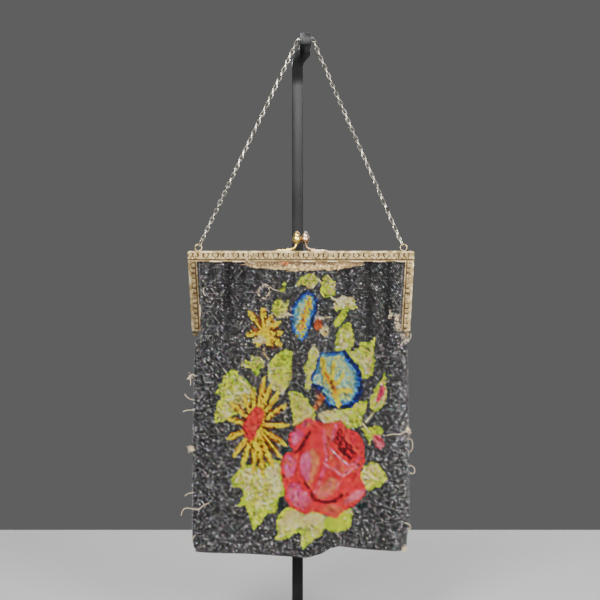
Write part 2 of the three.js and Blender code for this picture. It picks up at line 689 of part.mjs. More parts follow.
const finish = (color, roughness, metalness) =>
  new THREE.MeshStandardMaterial({ color, roughness, metalness });
const ANTIQUE_BRASS = () => finish(0xb79f73, 0.38, 1);
const BRIGHT_BRASS = () => finish(0xd9b64e, 0.25, 1);
const ROSE_BRASS = () => finish(0xc9a48d, 0.28, 1);
const NICKEL = () => finish(0xc9c6bc, 0.28, 1);
const BEADS = () => finish(0x24222a, 0.35, 0);
const CREAM_TAPE = () => finish(0xcfbb95, 0.9, 0);
const BLACK_STEEL = () => finish(0x121214, 0.35, 0.6);

function piece(name, geometry, material) {
  const mesh = new THREE.Mesh(geometry, material);
  mesh.name = name;
  return mesh;
}

const innerEar = EAR_INSET - EAR_THICKNESS;
const outerEar = innerEar - EAR_THICKNESS - CLEARANCE;
const frontHalf = frameHalf(innerEar, []);
const backHalf = frameHalf(outerEar, [eye(-1), eye(1)]).rotateZ(Math.PI);
const purse = new THREE.Group();
purse.add(
  piece("frame_front", frontHalf, ANTIQUE_BRASS()),
  piece("frame_back", backHalf, ANTIQUE_BRASS()),
  piece("hinge_pin_left", hingePin(-1), ANTIQUE_BRASS()),
  piece("hinge_pin_right", hingePin(1), ANTIQUE_BRASS()),
  piece("clasp_left", clasp(), BRIGHT_BRASS()),
  piece("clasp_right", clasp().rotateZ(Math.PI), ROSE_BRASS()),
  piece("beaded_bag", beadedBag(), BEADS()),
  piece("header_tape", headerTape(), CREAM_TAPE()),
  piece("end_link_left", endLink(-1), NICKEL()),
  piece("end_link_right", endLink(1), NICKEL()),
  piece("chain", chain(), NICKEL()),
);

const stand = new THREE.Group();
stand.add(
  piece("stand_post", standPost(), BLACK_STEEL()),
  piece("stand_base", standBase(), BLACK_STEEL()),
);

const object = new THREE.Group();
object.add(purse, stand);

export default object;
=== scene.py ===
"""Dresses a packed beaded purse and its stand: seed beads, chain links, stitches, threads and finishes."""

import logging
import math
from dataclasses import dataclass
from enum import Enum
from typing import Any, Iterable, Optional, Sequence, Union

import bmesh
import bpy
import numpy as np
from mathutils import Matrix, Vector


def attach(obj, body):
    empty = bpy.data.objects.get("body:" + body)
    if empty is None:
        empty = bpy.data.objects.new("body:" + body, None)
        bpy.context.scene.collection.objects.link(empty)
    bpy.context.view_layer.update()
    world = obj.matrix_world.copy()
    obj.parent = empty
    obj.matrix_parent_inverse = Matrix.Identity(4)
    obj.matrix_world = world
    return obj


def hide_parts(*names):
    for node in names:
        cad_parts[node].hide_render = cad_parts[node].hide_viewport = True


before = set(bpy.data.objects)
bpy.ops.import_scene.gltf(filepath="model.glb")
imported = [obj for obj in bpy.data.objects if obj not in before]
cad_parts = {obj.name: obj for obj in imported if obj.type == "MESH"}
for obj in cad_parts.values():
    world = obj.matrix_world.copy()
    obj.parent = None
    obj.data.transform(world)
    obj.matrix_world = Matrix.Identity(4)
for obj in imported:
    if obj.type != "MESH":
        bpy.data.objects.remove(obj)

LOG = logging.getLogger("beaded_purse")
MM = 0.001
BAKE_MAP = "OFBake"
TINT = "tint"
STEEL = "steel"
SEED = 1925
CLOTH_SEED = 1932
SHARP_ANGLE = math.radians(38)
SIDES = ((-1, "left"), (1, "right"))

# The frame and what stands on it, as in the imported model
FRAME_TOP = 317 * MM
FRAME_WIDTH = 190 * MM
ARM_FACE = 7.3 * MM
ARM_DROP = 67 * MM
ARM_LEAN = 3.8 * MM
CLEARANCE = 0.3 * MM
HALF_LAYER = 2.825 * MM

# The chart that the bouquet and the loose threads are drawn on, one square to a place on the bag's face
SQUARE = 0.841 * MM
MIDDLE_COLUMN = 301
MIDDLE_ROW = 300
MIDDLE_HEIGHT = 276 * MM

Point = tuple[float, float]
Points = tuple[Point, ...]
Shade = tuple[int, int, int]
Shades = tuple[Shade, ...]


class Slot(Enum):
    """The record's material slots."""

    ANTIQUE_BRASS = "antique_brass"
    BRIGHT_BRASS = "bright_brass"
    ROSE_BRASS = "rose_brass"
    BEAD_CLOTH = "bead_cloth"
    CREAM_TAPE = "cream_tape"
    NICKEL = "nickel"
    BLACK_STEEL = "black_steel"


def as_light(shades: np.ndarray) -> np.ndarray:
    """Turns shades of 0 to 255 as seen on a screen into the shares of light that they stand for."""
    v = shades / 255
    return np.where(v <= 0.04045, v / 12.92, ((v + 0.055) / 1.055) ** 2.4)


def linear(shade: Shade) -> tuple[float, float, float]:
    """One shade as a node's colour."""
    return tuple(float(share) for share in as_light(np.array(shade, float)))


class Wire:
    """A number or colour that flows through a material, and takes part in Python's arithmetic."""

    def __init__(self, recipe: "Recipe", socket: bpy.types.NodeSocket) -> None:
        """Keeps the output socket that gives the value, and the material it is in."""
        self.recipe = recipe
        self.socket = socket

    def math(self, operation: str, first: "Value", second: "Value" = 0.0) -> "Wire":
        """The result of one Math node."""
        return self.recipe.add("ShaderNodeMath", {0: first, 1: second}, operation=operation)

    def __add__(self, other: "Value") -> "Wire":
        """Adds."""
        return self.math("ADD", self, other)

    def __radd__(self, other: "Value") -> "Wire":
        """Adds, from the right."""
        return self.math("ADD", other, self)

    def __sub__(self, other: "Value") -> "Wire":
        """Subtracts."""
        return self.math("SUBTRACT", self, other)

    def __rsub__(self, other: "Value") -> "Wire":
        """Subtracts this from a number."""
        return self.math("SUBTRACT", other, self)

    def __mul__(self, other: "Value") -> "Wire":
        """Multiplies."""
        return self.math("MULTIPLY", self, other)

    def __abs__(self) -> "Wire":
        """Drops the sign."""
        return self.math("ABSOLUTE", self)

    def smooth(self, low: float, high: float) -> "Wire":
        """Rises smoothly from 0 to 1 between two values."""
        inputs = {"Value": self, 1: low, 2: high}
        return self.recipe.add("ShaderNodeMapRange", inputs, interpolation_type="SMOOTHSTEP")


Value = Union[float, Wire]
Colour = Union[tuple[float, ...], Wire]


class Recipe:
    """The nodes of one material, built from expressions."""

    def __init__(self, name: str) -> None:
        """Starts a material with a Principled shader.

        Args:
            name: the material's name.
        """
        self.material = bpy.data.materials.new(name)
        self.material.use_nodes = True
        self.tree = self.material.node_tree
        self.shader = self.tree.nodes["Principled BSDF"]

    def add(self, kind: str, inputs: dict[Any, Any], output: Any = 0, **settings: str) -> Wire:
        """Adds a node.

        Args:
            kind: the node's type.
            inputs: values or wires for its sockets, by name or number.
            output: the socket to take, by name or number.
            **settings: its properties, which are set first.

        Returns:
            The wire from that socket.
        """
        node = self.tree.nodes.new(kind)
        for key, value in settings.items():
            setattr(node, key, value)
        for key, value in inputs.items():
            self.feed(node.inputs[key], value)
        return Wire(self, node.outputs[output])

    def feed(self, socket: bpy.types.NodeSocket, value: Any) -> None:
        """Links a wire to a socket, or sets the socket to a value.

        Args:
            socket: the input.
            value: a wire, a colour or a number.
        """
        if isinstance(value, Wire):
            self.tree.links.new(value.socket, socket)
        elif isinstance(value, tuple) and len(value) == 3 and socket.type == "RGBA":
            socket.default_value = (*value, 1.0)
        else:
            socket.default_value = value

    def bead_fact(self, name: str, output: str) -> Wire:
        """What each bead, or the net under it, keeps under a name."""
        return self.add("ShaderNodeAttribute", {}, output, attribute_name=name)

    def place(self) -> Wire:
        """The point on the piece, in metres."""
        return self.add("ShaderNodeTexCoord", {}, "Object")

    def part(self, letter: str) -> Wire:
        """One of the three numbers of the point on the piece."""
        return self.add("ShaderNodeSeparateXYZ", {0: self.place()}, letter)

    def noise(self, size: float, detail: float = 2.0, place: Optional[Wire] = None) -> Wire:
        """Cloudy noise around 0.5, by its clouds' size in metres, at the point on the piece or another."""
        inputs = {"Vector": place or self.place(), "Scale": 1 / size, "Detail": detail}
        return self.add("ShaderNodeTexNoise", inputs)

    def mix(self, share: Value, first: Colour, second: Colour) -> Wire:
        """Mixes a share of the second colour into the first."""
        return self.add("ShaderNodeMix", {0: share, 6: first, 7: second}, 2, data_type="RGBA")

    def bump(self, height: Wire, distance: float) -> Wire:
        """The normal of a height from 0 to 1, where 1 stands for a distance in metres."""
        return self.add("ShaderNodeBump", {"Height": height, "Distance": distance, "Strength": 1.0}, "Normal")

    def finish(self, **sockets: Any) -> bpy.types.Material:
        """Feeds the shader's sockets.

        Args:
            **sockets: values or wires, by name with _ for a space.

        Returns:
            The finished material.
        """
        for name, value in sockets.items():
            self.feed(self.shader.inputs[name.replace("_", " ")], value)
        return self.material


@dataclass(frozen=True)
class BeadGlass:
    """Glass seed beads, each in its own colour, and the ground's with a steely lustre."""

    polish: float = 0.12
    lustre: float = 0.3

    def material(self) -> bpy.types.Material:
        """Mixes the finish.

        Returns:
            The finish as a material.
        """
        recipe = Recipe("bead_glass")
        tint = recipe.bead_fact(TINT, "Color")
        wear = recipe.noise(1.9 * MM, 1.0)
        steel = recipe.bead_fact(STEEL, "Fac")
        return recipe.finish(
            Base_Color=tint,
            Metallic=steel * self.lustre,
            Roughness=self.polish + wear * 0.2,
            IOR=1.45,
        )


@dataclass(frozen=True)
class KnitThread:
    """The thread net under the beads, painted in the darkened colours of the beads over it as shade in the
    gaps between them.
    """

    loop: float = 1.4 * MM

    def material(self) -> bpy.types.Material:
        """Mixes the finish.

        Returns:
            The finish as a material.
        """
        recipe = Recipe("knit_thread")
        tint = recipe.bead_fact(TINT, "Color")
        shadow = recipe.noise(self.loop, 3.0)
        colour = recipe.mix(shadow * 0.6, tint, (0.002, 0.002, 0.002))
        normal = recipe.bump(shadow, 0.4 * MM)
        return recipe.finish(Base_Color=colour, Roughness=0.95, Normal=normal, Specular_IOR_Level=0.03)


@dataclass(frozen=True)
class CottonTape:
    """Cream tape: browner along its sewn top edge, with one rust stain, and dark streaks of painted shade
    between its fibres.
    """

    sewn_edge: float = 308.0 * MM
    rust: tuple[float, float] = (-13.0 * MM, 306.5 * MM)

    def material(self) -> bpy.types.Material:
        """Mixes the finish.

        Returns:
            The finish as a material.
        """
        recipe = Recipe("cotton_tape")
        x, z = recipe.part("X"), recipe.part("Z")
        cloudy = recipe.noise(2.2 * MM, 4.0)
        cream = recipe.mix(cloudy.smooth(0.3, 0.7), linear((236, 208, 150)), linear((128, 98, 56)))
        brown = (z + cloudy * (2.4 * MM)).smooth(self.sewn_edge - 2.6 * MM, self.sewn_edge - 0.6 * MM)
        top_browned = recipe.mix(brown * 0.8, cream, linear((112, 86, 56)))
        along, up = abs(x - self.rust[0]), abs(z - self.rust[1])
        near = 1 - (along * 0.7 + up + cloudy * (2.6 * MM)).smooth(2.2 * MM, 5.2 * MM)
        stained = recipe.mix(near * 0.85, top_browned, linear((186, 92, 34)))
        drawn_out = {0: x * 0.45, 1: recipe.part("Y"), 2: z * 1.15}
        stretched = recipe.add("ShaderNodeCombineXYZ", drawn_out)
        # Painted shade: dark streaks between the fibres, stronger in the torn upper part.
        gap_shade = recipe.noise(0.95 * MM, 2.0, stretched).smooth(0.44, 0.56)
        upper = z.smooth(self.sewn_edge - 4.6 * MM, self.sewn_edge - 3.4 * MM)
        torn = upper * x.smooth(-38 * MM, -34 * MM) * (1 - x.smooth(26 * MM, 29 * MM))
        shaded_between_fibres = recipe.mix(gap_shade * (torn * 0.5 + 0.4), stained, linear((56, 42, 26)))
        weave = recipe.noise(0.5 * MM, 2.0)
        return recipe.finish(Base_Color=shaded_between_fibres, Roughness=0.92, Normal=recipe.bump(weave, 0.25 * MM))


@dataclass(frozen=True)
class CottonThread:
    """Loose sewing thread."""

    light: Shade = (232, 214, 180)
    dark: Shade = (168, 142, 108)

    def material(self) -> bpy.types.Material:
        """Mixes the finish.

        Returns:
            The finish as a material.
        """
        recipe = Recipe("cotton_thread")
        twist = recipe.noise(0.7 * MM, 2.0)
        colour = recipe.mix(twist.smooth(0.3, 0.7), linear(self.light), linear(self.dark))
        return recipe.finish(Base_Color=colour, Roughness=0.85, Normal=recipe.bump(twist, 0.12 * MM))


@dataclass(frozen=True)
class AntiqueBrass:
    """Gilt brass, browned in the hollows of its border, with painted shade in the slots beside its scrolls,
    in dimples between them and down its left arm.
    """

    bar_bottom: float = 308.3 * MM
    plate: float = 5.5 * MM
    rise: float = 0.32 * MM
    pitch: float = 8.4 * MM
    scroll_row: float = 313.6 * MM
    arm_scroll: float = 304.8 * MM
    arm_row: float = 4.1 * MM
    slot_inner: float = 1.6 * MM
    slot_outer: float = 2.9 * MM
    slot_height: float = 1.9 * MM
    blur: float = 0.15 * MM
    hollow_row: float = 2.9 * MM
    seam: float = 1.4 * MM

    def material(self) -> bpy.types.Material:
        """Mixes the finish.

        Returns:
            The finish as a material.
        """
        recipe = Recipe("antique_brass")
        x, y, z = (recipe.part(letter) for letter in "XYZ")
        edge = FRAME_WIDTH / 2 - (FRAME_TOP - z) * (ARM_LEAN / ARM_DROP)
        on_bar = z.math("GREATER_THAN", z, self.bar_bottom)
        along = on_bar * x + (1 - on_bar) * (z - self.arm_scroll + self.pitch / 2)
        up = on_bar * (z - self.scroll_row) + (1 - on_bar) * (abs(x) - edge + self.arm_row)
        inward = on_bar * (z - self.bar_bottom) + (1 - on_bar) * (abs(x) - edge + ARM_FACE)
        off = self.pitch / 2 - along.math("PINGPONG", along, self.pitch / 2)
        radius = off.math("SQRT", off * off + up * up)
        # Painted shade: the slots beside the scrolls are painted near black, more on one side of each scroll.
        within = radius.smooth(self.slot_inner - self.blur, self.slot_inner + self.blur)
        within = within * (1 - radius.smooth(self.slot_outer - self.blur, self.slot_outer + self.blur))
        slot = within * (1 - abs(up).smooth(self.slot_height - 0.4 * MM, self.slot_height))
        over = along.math("FLOORED_MODULO", along, self.pitch) - self.pitch / 2
        second = along.math("FLOORED_MODULO", along, 2 * self.pitch) - self.pitch
        facing = (over * second).smooth(-0.4 * MM * MM, 0.4 * MM * MM)
        off_plate = abs(abs(y) - self.plate)
        hollow = 1 - off_plate.smooth(0.04 * MM, self.rise)
        seam = 1 - abs(inward - self.seam).smooth(0.3 * MM, 0.75 * MM)
        flange = 1 - inward.smooth(0.7 * MM, 1.1 * MM)
        # Painted shade in small dimples between the scrolls.
        between = off * off + (up + self.hollow_row) * (up + self.hollow_row)
        dimple_shade = 1 - between.math("SQRT", between).smooth(0.35 * MM, 1.0 * MM)
        tarnish = recipe.noise(6 * MM, 4.0)
        grain = recipe.noise(0.6 * MM, 3.0)
        chased = recipe.noise(1.5 * MM, 2.0)
        bright = recipe.mix(tarnish.smooth(0.35, 0.65), linear((186, 170, 130)), linear((122, 102, 66)))
        brown = recipe.mix(chased.smooth(0.35, 0.65), linear((176, 156, 114)), linear((92, 72, 44)))
        colour = recipe.mix(hollow * 0.85, bright, brown)
        colour = recipe.mix(flange * 0.45, colour, linear((120, 94, 58)))
        # Painted shade: the whole left arm is painted darker, as less light falls on it.
        left_arm_shade = (1 - on_bar) * (1 - x.smooth(-82 * MM, -78 * MM))
        colour = recipe.mix(left_arm_shade * 0.5, colour, linear((46, 38, 26)))
        # The seam is the frame's own dark joint; the slots and dimples darkened with it are painted shade.
        dark = slot.math("MAXIMUM", slot * (facing * 0.35 + 0.65), seam)
        dark = dark.math("MAXIMUM", dark, dimple_shade * 0.8)
        colour = recipe.mix(dark * 0.95, colour, linear((46, 34, 22)))
        return recipe.finish(
            Base_Color=colour,
            Metallic=1.0,
            Roughness=0.32 + grain * 0.16 + hollow * 0.12,
            Normal=recipe.bump(grain, 0.05 * MM),
        )


@dataclass(frozen=True)
class PolishedMetal:
    """A polished or plated metal with faint smudges and tarnish."""

    name: str
    clean: Shade
    tarnished: Shade
    rough: float = 0.2
    patch: float = 3 * MM

    def material(self) -> bpy.types.Material:
        """Mixes the finish.

        Returns:
            The finish as a material.
        """
        recipe = Recipe(self.name)
        tarnish = recipe.noise(self.patch, 4.0)
        scuffs = recipe.noise(0.5 * MM, 2.0)
        colour = recipe.mix(tarnish.smooth(0.42, 0.72), linear(self.clean), linear(self.tarnished))
        return recipe.finish(
            Base_Color=colour,
            Metallic=1.0,
            Roughness=self.rough + tarnish * 0.18,
            Normal=recipe.bump(scuffs, 0.03 * MM),
        )


@dataclass(frozen=True)
class BlackSteel:
    """Steel bar under satin black paint."""

    def material(self) -> bpy.types.Material:
        """Mixes the finish.

        Returns:
            The finish as a material.
        """
        recipe = Recipe("black_steel")
        orange_peel = recipe.noise(1.4 * MM, 2.0)
        dust = recipe.noise(30 * MM, 5.0)
        colour = recipe.mix(dust.smooth(0.4, 0.8) * 0.5, (0.005, 0.005, 0.0055), (0.016, 0.016, 0.017))
        return recipe.finish(
            Base_Color=colour,
            Roughness=0.26 + dust * 0.16,
            IOR=1.36,
            Normal=recipe.bump(orange_peel, 0.05 * MM),
        )


@dataclass(frozen=True)
class PalePaper:
    """The studio's floor."""

    def material(self) -> bpy.types.Material:
        """Mixes the finish.

        Returns:
            The finish as a material.
        """
        recipe = Recipe("pale_paper")
        fibre = recipe.noise(4 * MM, 3.0)
        colour = recipe.mix(fibre, (0.36, 0.36, 0.355), (0.4, 0.4, 0.395))
        return recipe.finish(Base_Color=colour, Roughness=0.8)


def placed(name: str, data: Any) -> bpy.types.Object:
    """Puts some data in the scene.

    Args:
        name: the object's name.
        data: its mesh, curve, light or camera.

    Returns:
        The object.
    """
    made = bpy.data.objects.new(name, data)
    bpy.context.scene.collection.objects.link(made)
    return made


def points_of(mesh: bpy.types.Mesh) -> np.ndarray:
    """Reads a mesh's points.

    Args:
        mesh: the mesh.

    Returns:
        One row for each point.
    """
    places = np.zeros(len(mesh.vertices) * 3, np.float32)
    mesh.vertices.foreach_get("co", places)
    return places.reshape(-1, 3).astype(float)


def set_tints(mesh: bpy.types.Mesh, tints: np.ndarray) -> None:
    """Gives each point of a mesh its colour.

    Args:
        mesh: the mesh.
        tints: a row of light shares for each point.
    """
    layer = mesh.attributes.new(TINT, "FLOAT_COLOR", "POINT")
    opaque = np.column_stack([tints, np.ones(len(tints))])
    layer.data.foreach_set("color", opaque.astype(np.float32).ravel())


def run_lengths(line: np.ndarray) -> np.ndarray:
    """How far along a line of points each of them lies."""
    return np.concatenate([[0], np.cumsum(np.linalg.norm(np.diff(line, axis=0), axis=1))])


def along(line: np.ndarray, runs: np.ndarray, at: np.ndarray) -> np.ndarray:
    """The points at some distances along a line, one row each."""
    return np.column_stack([np.interp(at, runs, column) for column in line.T])


def shown(mesh: bpy.types.Mesh, name: str, sharp: float = SHARP_ANGLE) -> bpy.types.Object:
    """Puts a mesh in the scene, smooth but for its sharp edges.

    Args:
        mesh: the mesh.
        name: the object's name.
        sharp: the angle past which an edge is sharp.

    Returns:
        The object.
    """
    mesh.name = name
    mesh.polygons.foreach_set("use_smooth", [True] * len(mesh.polygons))
    mesh.set_sharp_from_angle(angle=sharp)
    return placed(name, mesh)


def kept(made: bmesh.types.BMesh, name: str, sharp: float = SHARP_ANGLE) -> bpy.types.Object:
    """Turns a finished bmesh into an object of the scene.

    Args:
        made: the bmesh, which is freed.
        name: the object's name.
        sharp: the angle past which an edge is sharp.

    Returns:
        The object.
    """
    mesh = bpy.data.meshes.new(name)
    made.to_mesh(mesh)
    made.free()
    return shown(mesh, name, sharp)


def evaluated(source: bpy.types.Object, name: str) -> bpy.types.Object:
    """Replaces an object by the plain mesh that its modifiers, curve or nodes make.

    Args:
        source: the object, which is removed.
        name: the new object's name.

    Returns:
        The new object.
    """
    graph = bpy.context.evaluated_depsgraph_get()
    final = source.evaluated_get(graph)
    mesh = bpy.data.meshes.new_from_object(final, preserve_all_data_layers=True, depsgraph=graph)
    bpy.data.objects.remove(source)
    return shown(mesh, name)


def dress(piece: bpy.types.Object, material: bpy.types.Material) -> None:
    """Gives a piece its finish, and lets it ride with the object.

    Args:
        piece: the piece.
        material: its finish.
    """
    piece.data.materials.clear()
    piece.data.materials.append(material)
    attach(piece, "root")
    LOG.info("%s: %d faces", piece.name, len(piece.data.polygons))


def strands(
    lines: Sequence[Sequence[Vector]], radius: float, name: str, sides: int = 2, steps: int = 3
) -> bpy.types.Object:
    """Thin round strands through lists of points, joined in one mesh.

    Args:
        lines: the points of each strand.
        radius: the strands' radius.
        name: the object's name.
        sides: how finely they are rounded.
        steps: how many pieces each stretch between two points has.

    Returns:
        The strands as a mesh object.
    """
    data = bpy.data.curves.new(name + "_line", "CURVE")
    data.dimensions = "3D"
    data.bevel_depth = radius
    data.bevel_resolution = sides - 1
    data.use_fill_caps = True
    data.resolution_u = steps
    for points in lines:
        spline = data.splines.new("BEZIER")
        spline.bezier_points.add(len(points) - 1)
        for knot, point in zip(spline.bezier_points, points):
            knot.co = point
            knot.handle_left_type = "AUTO"
            knot.handle_right_type = "AUTO"
    return evaluated(placed(name + "_line", data), name)


def add_box(made: bmesh.types.BMesh, middle: Sequence[float], size: Sequence[float]) -> None:
    """Adds a box to a bmesh."""
    place = Matrix.Translation(middle) @ Matrix.Diagonal((*size, 1))
    bmesh.ops.create_cube(made, size=1, matrix=place)


def spin(made: bmesh.types.BMesh, geom: list[Any], axis: tuple[int, int, int], steps: int) -> None:
    """Spins an outline once round an axis through the origin."""
    full = 2 * math.pi
    bmesh.ops.spin(made, geom=geom, cent=(0, 0, 0), axis=axis, angle=full, steps=steps, use_merge=True)


def ring(radius: float, wire: float, stretch: float, around: int, sides: int) -> bmesh.types.BMesh:
    """A link of round wire in the XZ plane, longer along Z.

    Args:
        radius: half its width, to the middle of the wire.
        wire: the wire's radius.
        stretch: how far each half is pulled away from the other.
        around: the number of stretches of wire round it.
        sides: the number of sides of the wire.

    Returns:
        The link, centred at the origin.
    """
    made = bmesh.new()
    place = Matrix.Translation((radius, 0, 0))
    circle = bmesh.ops.create_circle(made, segments=sides, radius=wire, matrix=place)
    edges = list({edge for vert in circle["verts"] for edge in vert.link_edges})
    turn = Matrix.Rotation(math.pi / around, 4, "Y")
    bmesh.ops.transform(made, matrix=turn, verts=made.verts)
    spin(made, circle["verts"] + edges, (0, 1, 0), around)
    bmesh.ops.remove_doubles(made, verts=made.verts, dist=wire * 0.01)
    bmesh.ops.recalc_face_normals(made, faces=made.faces)
    for vert in made.verts:
        vert.co.z += math.copysign(stretch, vert.co.z)
    return made


@dataclass
class Places:
    """Where the copies of a small shape go, and how each is turned, sized and coloured."""

    at: np.ndarray
    turn: np.ndarray
    size: np.ndarray
    tint: Optional[np.ndarray] = None
    steel: Optional[np.ndarray] = None

    def part(self, mask: np.ndarray) -> "Places":
        """The places that a mask picks, which must be coloured ones."""
        picked = (self.at[mask], self.turn[mask], self.size[mask], self.tint[mask], self.steel[mask])
        return Places(*picked)

    def as_mesh(self, name: str) -> bpy.types.Mesh:
        """The places as loose points with their facts as attributes.

        Args:
            name: the mesh's name.

        Returns:
            The mesh.
        """
        mesh = bpy.data.meshes.new(name)
        mesh.vertices.add(len(self.at))
        mesh.vertices.foreach_set("co", self.at.astype(np.float32).ravel())
        for key, values in (("turn", self.turn), ("size", self.size)):
            layer = mesh.attributes.new(key, "FLOAT_VECTOR", "POINT")
            layer.data.foreach_set("vector", values.astype(np.float32).ravel())
        if self.tint is not None:
            set_tints(mesh, self.tint)
            layer = mesh.attributes.new(STEEL, "FLOAT", "POINT")
            layer.data.foreach_set("value", self.steel.astype(np.float32))
        return mesh


def scattered(shape: bpy.types.Object, places: Places, name: str) -> bpy.types.Object:
    """Copies a small shape to many places and keeps the copies as one mesh.

    Args:
        shape: the small shape, which stays.
        places: where its copies go.
        name: the new object's name.

    Returns:
        The copies.
    """
    tree = bpy.data.node_groups.new(name, "GeometryNodeTree")
    for way in ("INPUT", "OUTPUT"):
        tree.interface.new_socket("Geometry", in_out=way, socket_type="NodeSocketGeometry")
    kinds = (
        "NodeGroupInput", "NodeGroupOutput", "GeometryNodeInstanceOnPoints", "GeometryNodeRealizeInstances",
        "GeometryNodeObjectInfo",
    )
    given, result, copies, joined, source = (tree.nodes.new(kind) for kind in kinds)
    source.inputs["Object"].default_value = shape
    tree.links.new(given.outputs[0], copies.inputs["Points"])
    tree.links.new(source.outputs["Geometry"], copies.inputs["Instance"])
    for key, socket in (("turn", "Rotation"), ("size", "Scale")):
        fact = tree.nodes.new("GeometryNodeInputNamedAttribute")
        fact.data_type = "FLOAT_VECTOR"
        fact.inputs["Name"].default_value = key
        tree.links.new(fact.outputs["Attribute"], copies.inputs[socket])
    tree.links.new(copies.outputs[0], joined.inputs[0])
    tree.links.new(joined.outputs[0], result.inputs[0])
    holder = placed(name + "_places", places.as_mesh(name + "_places"))
    holder.modifiers.new("copies", "NODES").node_group = tree
    made = evaluated(holder, name)
    for key in ("turn", "size"):
        if key in made.data.attributes:
            made.data.attributes.remove(made.data.attributes[key])
    return made


Inset = Union[float, np.ndarray]


@dataclass(frozen=True)
class Fold:
    """A ridge of the cloth: its place and half breadth across, its height, and where it starts and ends."""

    face: int
    across: float
    breadth: float
    out: float
    low: float
    high: float


@dataclass(frozen=True)
class BagForm:
    """The bag's form, from the sizes of its solid."""

    frame_depth: float = 11 * MM
    bar_height: float = 8.7 * MM
    metal: float = 1.2 * MM
    drop: float = 191 * MM
    width: float = 184 * MM
    depth: float = 16 * MM
    cloth: float = 1.5 * MM
    tuck: float = 1.3 * MM
    slit_drop: float = 6.5 * MM
    slit_width: float = 2.5 * MM
    mouth_clearance: float = 1 * MM
    mouth_square: float = 24
    floor: float = 2.3 * MM
    tape_height: float = 7.6 * MM
    tape_thickness: float = 1.2 * MM
    least_depth: float = 0.4 * MM
    ends_below: float = 11 * MM
    heights: tuple[float, ...] = (0, 0.02, 0.06, 0.16, 0.42, 0.8, 0.935)
    lefts: tuple[float, ...] = (0.968, 0.985, 1, 1, 0.998, 0.982, 0.972)
    rights: tuple[float, ...] = (0.964, 0.97, 0.978, 0.998, 0.992, 0.986, 0.972)
    depths: tuple[float, ...] = (0.2, 0.45, 0.66, 0.86, 0.98, 0.88, 0.8)
    squares: tuple[float, ...] = (3, 3, 3.2, 3.6, 4, 6, 9)
    hem_places: tuple[float, ...] = (-1, -0.9, -0.5, -0.1, 0.05, 0.2, 0.27, 0.36, 0.62, 0.9, 1)
    hem_rises: tuple[float, ...] = (0.026, 0.022, 0.018, 0.006, 0, 0.018, 0.038, 0.05, 0.038, 0.028, 0.034)
    folds: tuple[Fold, ...] = (
        Fold(-1, -0.76, 0.06, 0.1, 0.6, 1.26),
        Fold(-1, -0.52, 0.08, 0.11, 0.5, 1.26),
        Fold(-1, -0.12, 0.2, 0.07, 0.1, 1.2),
        Fold(-1, 0.33, 0.06, 0.1, 0.55, 1.26),
        Fold(-1, 0.53, 0.06, 0.11, 0.6, 1.26),
        Fold(-1, 0.73, 0.06, 0.11, 0.6, 1.26),
        Fold(-1, 0.3, 0.12, -0.14, -0.1, 0.2),
        Fold(-1, 0.62, 0.16, 0.08, -0.1, 0.4),
        Fold(1, -0.7, 0.08, 0.1, 0.6, 1.26),
        Fold(1, -0.3, 0.1, 0.09, 0.5, 1.26),
        Fold(1, 0.2, 0.12, 0.08, 0.3, 1.2),
        Fold(1, 0.56, 0.08, 0.1, 0.55, 1.26),
    )

    @property
    def arm_end(self) -> float:
        """The height of the arms' ends."""
        return FRAME_TOP - ARM_DROP

    @property
    def bar_bottom(self) -> float:
        """The height of the bar's lower edge."""
        return FRAME_TOP - self.bar_height

    @property
    def bottom(self) -> float:
        """The height of the lowest bead."""
        return self.arm_end - self.drop

    @property
    def top_share(self) -> float:
        """The cloth's top edge, as a share of the drop."""
        return (FRAME_TOP - self.metal - self.mouth_clearance - self.bottom) / self.drop

    @property
    def neck(self) -> float:
        """The foot of the side slits, as a share of the drop."""
        return 1 - self.slit_drop / self.drop

    @property
    def mouth_depth(self) -> float:
        """Half the cloth's depth inside the frame."""
        return self.frame_depth / 2 - self.metal - CLEARANCE

    @property
    def tape_share(self) -> float:
        """The tape's lowest edge, as a share of the drop."""
        return (self.bar_bottom - self.tape_height - self.tape_thickness - self.bottom) / self.drop

    @property
    def slit_inner(self) -> float:
        """How far from the bag's middle each side slit starts."""
        return float(self.cloth_edge(np.array(self.arm_end))) - self.slit_width

    @property
    def flat(self) -> tuple[float, float]:
        """The cloth laid flat: its width, and the length of both faces, which end below the frame's top."""
        return self.width, 2 * (FRAME_TOP - self.bottom - self.ends_below)

    def frame_edge(self, z: np.ndarray) -> np.ndarray:
        """How far the frame's outer edge lies from its middle at a height."""
        return FRAME_WIDTH / 2 - ARM_LEAN * (FRAME_TOP - z) / ARM_DROP

    def cloth_edge(self, z: np.ndarray) -> np.ndarray:
        """How far the cloth reaches to each side inside the frame."""
        return self.frame_edge(z) - ARM_FACE + self.tuck

    def section(self, across: np.ndarray, share: np.ndarray) -> tuple[np.ndarray, np.ndarray, np.ndarray]:
        """The bag's section at a share of its drop.

        Args:
            across: places across, from -1 to 1.
            share: heights as shares of the drop.

        Returns:
            Half width, half depth and squareness.
        """
        z = self.bottom + share * self.drop
        last = self.heights[-1]
        to_neck = np.clip((share - last) / (self.neck - last), 0, 1)
        to_arms = np.clip((share - last) / (1 - last), 0, 1)
        left = np.interp(share, self.heights, self.lefts)
        right = np.interp(share, self.heights, self.rights)
        free = self.width / 2 * np.where(across < 0, left, right)
        deep = self.depth / 2 * np.interp(share, self.heights, self.depths)
        square = np.interp(share, self.heights, self.squares)
        half = free + (self.cloth_edge(z) - free) * to_neck**2
        deep = deep + (self.mouth_depth - deep) * to_arms
        return half, deep, square + (self.mouth_square - square) * to_neck

